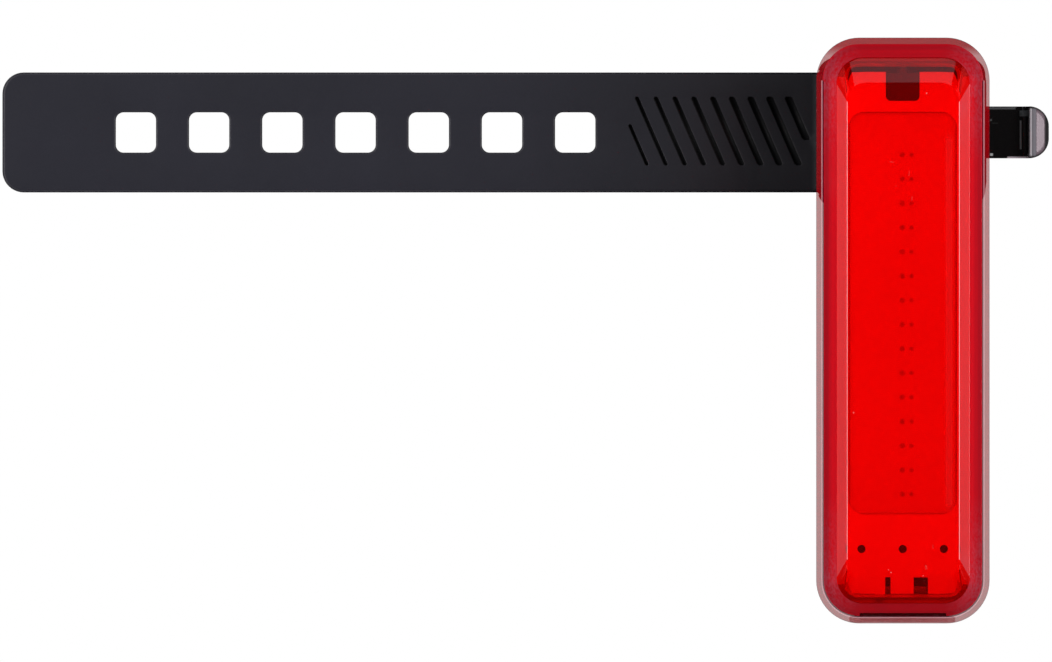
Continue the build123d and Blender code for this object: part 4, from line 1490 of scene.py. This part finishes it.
@dataclass
class SocketCover:
    """Rubber flap over the charging socket: a plate with rolled edges, its plug, neck and hinge.

    The bar holds places along the hinge's axis and the radius at each. The rows of the neck hold an
    inset and a height over the foot, and those of the plug's tip an inset and a depth below its top.
    """

    half_width: float = 6.4
    thickness: float = 0.75
    roll: float = 0.25
    hinge_depth: float = 18.2
    hinge_level: float = -58.85
    plate_back: float = 19.25
    neck_front: float = 19.85
    neck_back: float = 18.1
    neck_width: float = 8.8
    neck: tuple = ((0.1, 0.05), (0.0, 0.2), (0.0, 0.6), (0.1, 0.7))
    socket_depth: float = 21.47
    plate_corner: float = 1.1
    neck_corner: float = 0.05
    plug: Pair = (8.84, 3.16)
    plug_root: float = 0.5
    tip: tuple = ((0.0, 0.3), (0.08, 0.08), (0.3, 0.0))
    bar: tuple = ((-5.8, 0.3), (-5.7, 0.4), (-4.4, 0.4), (-4.35, 0.65))

    def build(self) -> Piece:
        """Makes the plate and the plug by stacked outlines, and the hinge's bar by rings along it.

        Returns:
            The cover.
        """
        low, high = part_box("usb_cover")
        foot, top = low[2] / MM, high[2] / MM
        front = -low[1] / MM
        turns = quarter_turn(steps=4)
        rolled = [(self.roll * (1 - math.sin(turn)), self.roll * (1 - math.cos(turn))) for turn in turns]
        rows = [(inset, foot + rise) for inset, rise in rolled]
        rows += [(inset, foot + self.thickness - rise) for inset, rise in rolled[::-1]]
        middle = (self.plate_back + front) / 2
        shell = Shell()
        rings = []
        for inset, height in rows:
            length = front - self.plate_back - 2 * inset
            outline = rounded_outline(2 * (self.half_width - inset), length, self.plate_corner, steps=8)
            rings.append(level_ring(outline, height, middle))
        shell.solid(rings)
        length = self.neck_front - self.neck_back
        middle = (self.neck_back + self.neck_front) / 2
        rings = []
        for inset, rise in self.neck:
            outline = rounded_outline(self.neck_width - 2 * inset, length, self.neck_corner, steps=2)
            rings.append(level_ring(outline, foot + rise, middle))
        shell.solid(rings)
        rows = [(0.0, foot + self.plug_root)] + [(inset, top - below) for inset, below in self.tip]
        shell.solid([
            level_ring(slot_outline(*(size - 2 * inset for size in self.plug)), height, self.socket_depth)
            for inset, height in rows
        ])
        around = circle(count=24)
        axis = (-self.hinge_depth, self.hinge_level)
        shell.solid([
            np.column_stack([np.full(len(around), x), radius * around + axis])
            for x, radius in (*self.bar, *((-x, radius) for x, radius in self.bar[::-1]))
        ])
        piece = shell.mesh("socket_flap", (COVER,), sharp=50.0)
        return settle(piece, Body.COVER, "usb_cover")


@dataclass
class Seal:
    """Rubber seal under the lens's rim: a ring with a slightly swollen edge."""

    back: float = 26.9
    front: float = 27.3
    inner: Three = (16.3, 66.3, 2.85)
    width: float = 0.8
    swell: float = 0.05

    def build(self) -> Piece:
        """Makes the ring: round its section, the outer edge swells by a half circle's arc.

        Returns:
            The seal.
        """
        middle = (self.back + self.front) / 2
        half = (self.front - self.back) / 2
        section = [(0.0, self.front), (0.0, self.back)]
        for turn in np.linspace(-np.pi / 2, np.pi / 2, num=7):
            out = self.width - self.swell + self.swell * math.cos(turn)
            section.append((out, middle + half * math.sin(turn)))
        section.append(section[0])
        width, length, corner = self.inner
        shell = Shell()
        shell.loft(np.stack([
            place(rounded_outline(width + 2 * out, length + 2 * out, corner + out, steps=8), depth)
            for out, depth in section
        ]))
        piece = shell.mesh("rim_seal", (SEAL,), sharp=40.0)
        return settle(piece, Body.LIGHT, "lens_gasket")


@dataclass
class LampDots:
    """The pair of small grey marks over each lamp of the row, just above the diffuser's front.

    The marks are the lamp's pads seen through the diffuser, partly painted shade. A side holds its
    direction and the scale of its marks, and the dome its radii and heights.
    """

    count: int = 15
    pitch: float = 2.94
    level: float = 0.72
    x: float = 0.5
    spread: float = 0.565
    front: float = 25.83
    radius: float = 0.33
    sides: tuple = ((-1.0, 1.0), (1.0, 0.8))
    dome: tuple = ((1.0, -0.01), (1.0, 0.01), (0.7, 0.03), (0.3, 0.04))

    def build(self) -> Piece:
        """Makes each mark a low dome: rings that draw in as the dome rises.

        Returns:
            The marks.
        """
        shell = Shell()
        around = circle(count=12)
        heights = self.level + (np.arange(self.count) - (self.count - 1) / 2) * self.pitch
        for height in heights:
            for side, scale in self.sides:
                x = self.x + side * self.spread
                shell.solid([
                    place(size * self.radius * scale * around, self.front + rise, x, LENS_LEVEL + height)
                    for size, rise in self.dome
                ])
        # the marks are partly painted shade over the lamps
        piece = shell.mesh("lamp_dots", (LAMP_MARK,))
        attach(piece, Body.LIGHT.value)
        return piece


@dataclass(frozen=True)
class Fleck:
    """One speck or hair of dust: its place on the lens, its half sizes and its lean in degrees."""

    x: float
    z: float
    wide: float
    tall: float
    faint: bool = False
    lean: float = 0.0


@dataclass
class Flecks:
    """Small specks of dust and faint marks on the lens's flat."""

    front: float = 31.8
    places: tuple[Fleck, ...] = (
        Fleck(2.82, 28.74, 0.09, 0.09),
        Fleck(2.75, -28.7, 0.17, 0.30, True),
        Fleck(2.75, -28.55, 0.10, 0.16, True),
        Fleck(2.4, -29.7, 0.05, 0.07),
        Fleck(2.5, -30.4, 0.05, 0.05, True),
        Fleck(-1.8, -28.98, 0.06, 0.06),
        Fleck(-1.49, -29.3, 0.08, 0.08),
        Fleck(3.58, -26.2, 0.06, 0.32, True),
        Fleck(0.71, 19.05, 0.06, 0.42, True),
        Fleck(1.07, 16.0, 0.06, 0.34, True),
        Fleck(-0.87, 17.5, 0.12, 0.06, True),
        Fleck(-1.4, 20.4, 0.36, 0.07, True, -10.0),
        Fleck(-6.02, -9.95, 0.16, 0.03),
        Fleck(-6.02, -9.95, 0.03, 0.16),
        Fleck(-4.76, 9.1, 0.05, 0.05, True),
    )
    dome: tuple = ((1.0, -0.01), (1.0, 0.005), (0.6, 0.02))

    def build(self) -> Piece:
        """Makes each speck a low dome over an ellipse.

        Returns:
            The specks.
        """
        shell = Shell()
        around = circle(count=10)
        for fleck in self.places:
            lean = math.radians(fleck.lean)
            turn = np.array([[math.cos(lean), math.sin(lean)], [-math.sin(lean), math.cos(lean)]])
            oval = around * (fleck.wide, fleck.tall) @ turn
            shell.solid([
                place(oval * size, self.front + rise, fleck.x, LENS_LEVEL + fleck.z)
                for size, rise in self.dome
            ], int(fleck.faint))
        piece = shell.mesh("lens_flecks", (SPECK, FAINT))
        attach(piece, Body.LIGHT.value)
        return piece


@dataclass
class Studio:
    """White backdrop, soft side lights, pale floor and the photograph's camera.

    Places and sizes of the lights, the distance and the setback are in metres. The camera's place is
    its distance in front of the post's axis, plus the setback. A light has its place, size, power in
    watts and colour. The key and the fill stand on the right, and on the left as in a mirror.
    """

    distance: float = 3.6
    setback: float = 0.024
    span: float = 127.67
    centre: Pair = (-45.69, -24.16)
    target: Three = (0.0, -0.02, -0.024)
    key: tuple = ((1.0, -1.05, 0.15), (0.45, 1.3), 8.4)
    fill: tuple = ((1.5, -0.62, 0.0), (0.9, 1.6), 3.6, (1.0, 0.93, 0.96))
    top: tuple = ((0.0, -1.5, 0.95), (1.2, 0.5), 1.3, (0.9, 0.92, 1.0))
    tip: tuple = ((1.6, -0.02, 0.0), (0.36, 0.36), 2.1, (1.0, 0.90, 0.95))
    sensor: float = 36.0
    dim: float = 0.25
    dim_glossy: float = 0.02
    floor_level: float = -76.0
    floor_radii: tuple[float, ...] = (520.0, 300.0, 60.0)

    def panel(self, name: str, where: Three, size: Pair, power: float, colour: Colour = WHITE) -> None:
        """Adds an area light that looks at the light's middle.

        Args:
            name: The light's name.
            where: Its place.
            size: Its width and height.
            power: Its power in watts.
            colour: Its colour.
        """
        data = bpy.data.lights.new(name, "AREA")
        data.shape = "RECTANGLE"
        data.size, data.size_y = size
        data.energy = power
        data.color = colour
        lamp = bpy.data.objects.new(name, data)
        lamp.location = where
        way = Vector(self.target) - Vector(where)
        lamp.rotation_euler = way.to_track_quat("-Z", "Y").to_euler()
        bpy.context.scene.collection.objects.link(lamp)

    def lights(self) -> None:
        """Places the two tall side panels, the two wide dim ones, the top panel and the hook's small one."""
        for sign, side in ((-1.0, "left"), (1.0, "right")):
            for name, ((x, y, z), *rest) in (("key_", self.key), ("fill_", self.fill)):
                self.panel(name + side, (sign * x, y, z), *rest)
        self.panel("top", *self.top)
        self.panel("tip", *self.tip)

    def world(self) -> None:
        """Makes the surroundings white for the camera and through glass, and dim for reflections."""
        world = bpy.data.worlds.new("studio")
        bpy.context.scene.world = world
        nodes = Nodes.cleared(world)
        path = nodes.add("LightPath").outputs
        seen = nodes.math("MAXIMUM", path["Is Camera Ray"], path["Is Transmission Ray"])
        drop = nodes.math("MULTIPLY", path["Is Glossy Ray"], self.dim_glossy - self.dim)
        level = nodes.math("ADD", drop, self.dim)
        rise = nodes.math("MULTIPLY", seen, nodes.math("SUBTRACT", 1.0, level))
        shade = nodes.add("Background", Color=WHITE, Strength=nodes.math("ADD", rise, level))
        nodes.add("OutputWorld", Surface=shade.outputs[0])

    def floor(self) -> None:
        """Adds a round floor."""
        around = circle(count=96)
        shell = Shell()
        level = np.full(len(around), self.floor_level)
        rings = [np.column_stack([radius * around, level]) for radius in self.floor_radii]
        shell.loft(np.stack(rings), caps="last")
        disc = shell.mesh("floor_disc", (PaleFloor(),))
        disc.visible_glossy = False

    def camera(self) -> None:
        """Sets the level camera straight in front, far enough away to show hardly any perspective."""
        data = bpy.data.cameras.new("camera")
        data.sensor_width = self.sensor
        data.lens = self.sensor * self.distance / (self.span * MM)
        data.clip_end = 50.0
        camera = bpy.data.objects.new("camera", data)
        camera.location = (self.centre[0] * MM, -self.distance - self.setback, self.centre[1] * MM)
        camera.rotation_euler = (math.pi / 2, 0.0, 0.0)
        bpy.context.scene.collection.objects.link(camera)
        bpy.context.scene.camera = camera

    def build(self) -> None:
        """Sets up everything that isn't part of the object."""
        settings = bpy.context.scene.view_settings
        settings.view_transform = "Standard"
        settings.look = "None"
        self.world()
        self.lights()
        self.floor()
        self.camera()


def main() -> None:
    """Dresses the CAD nodes that stay and builds each sub-assembly in order."""
    logging.basicConfig(level=logging.INFO)
    for node, finish in DRESSING.items():
        dress(node, finish)
    for node, width in EDGES.items():
        soften(node, width)
    for maker in (Lens(), Strap(), SeatPad(), Button(), SocketCover(), Seal(), LampDots(), Flecks()):
        piece = maker.build()
        log.info("%s: %d faces", piece.name, len(piece.data.polygons))
    Studio().build()


if __name__ == "__main__":
    main()
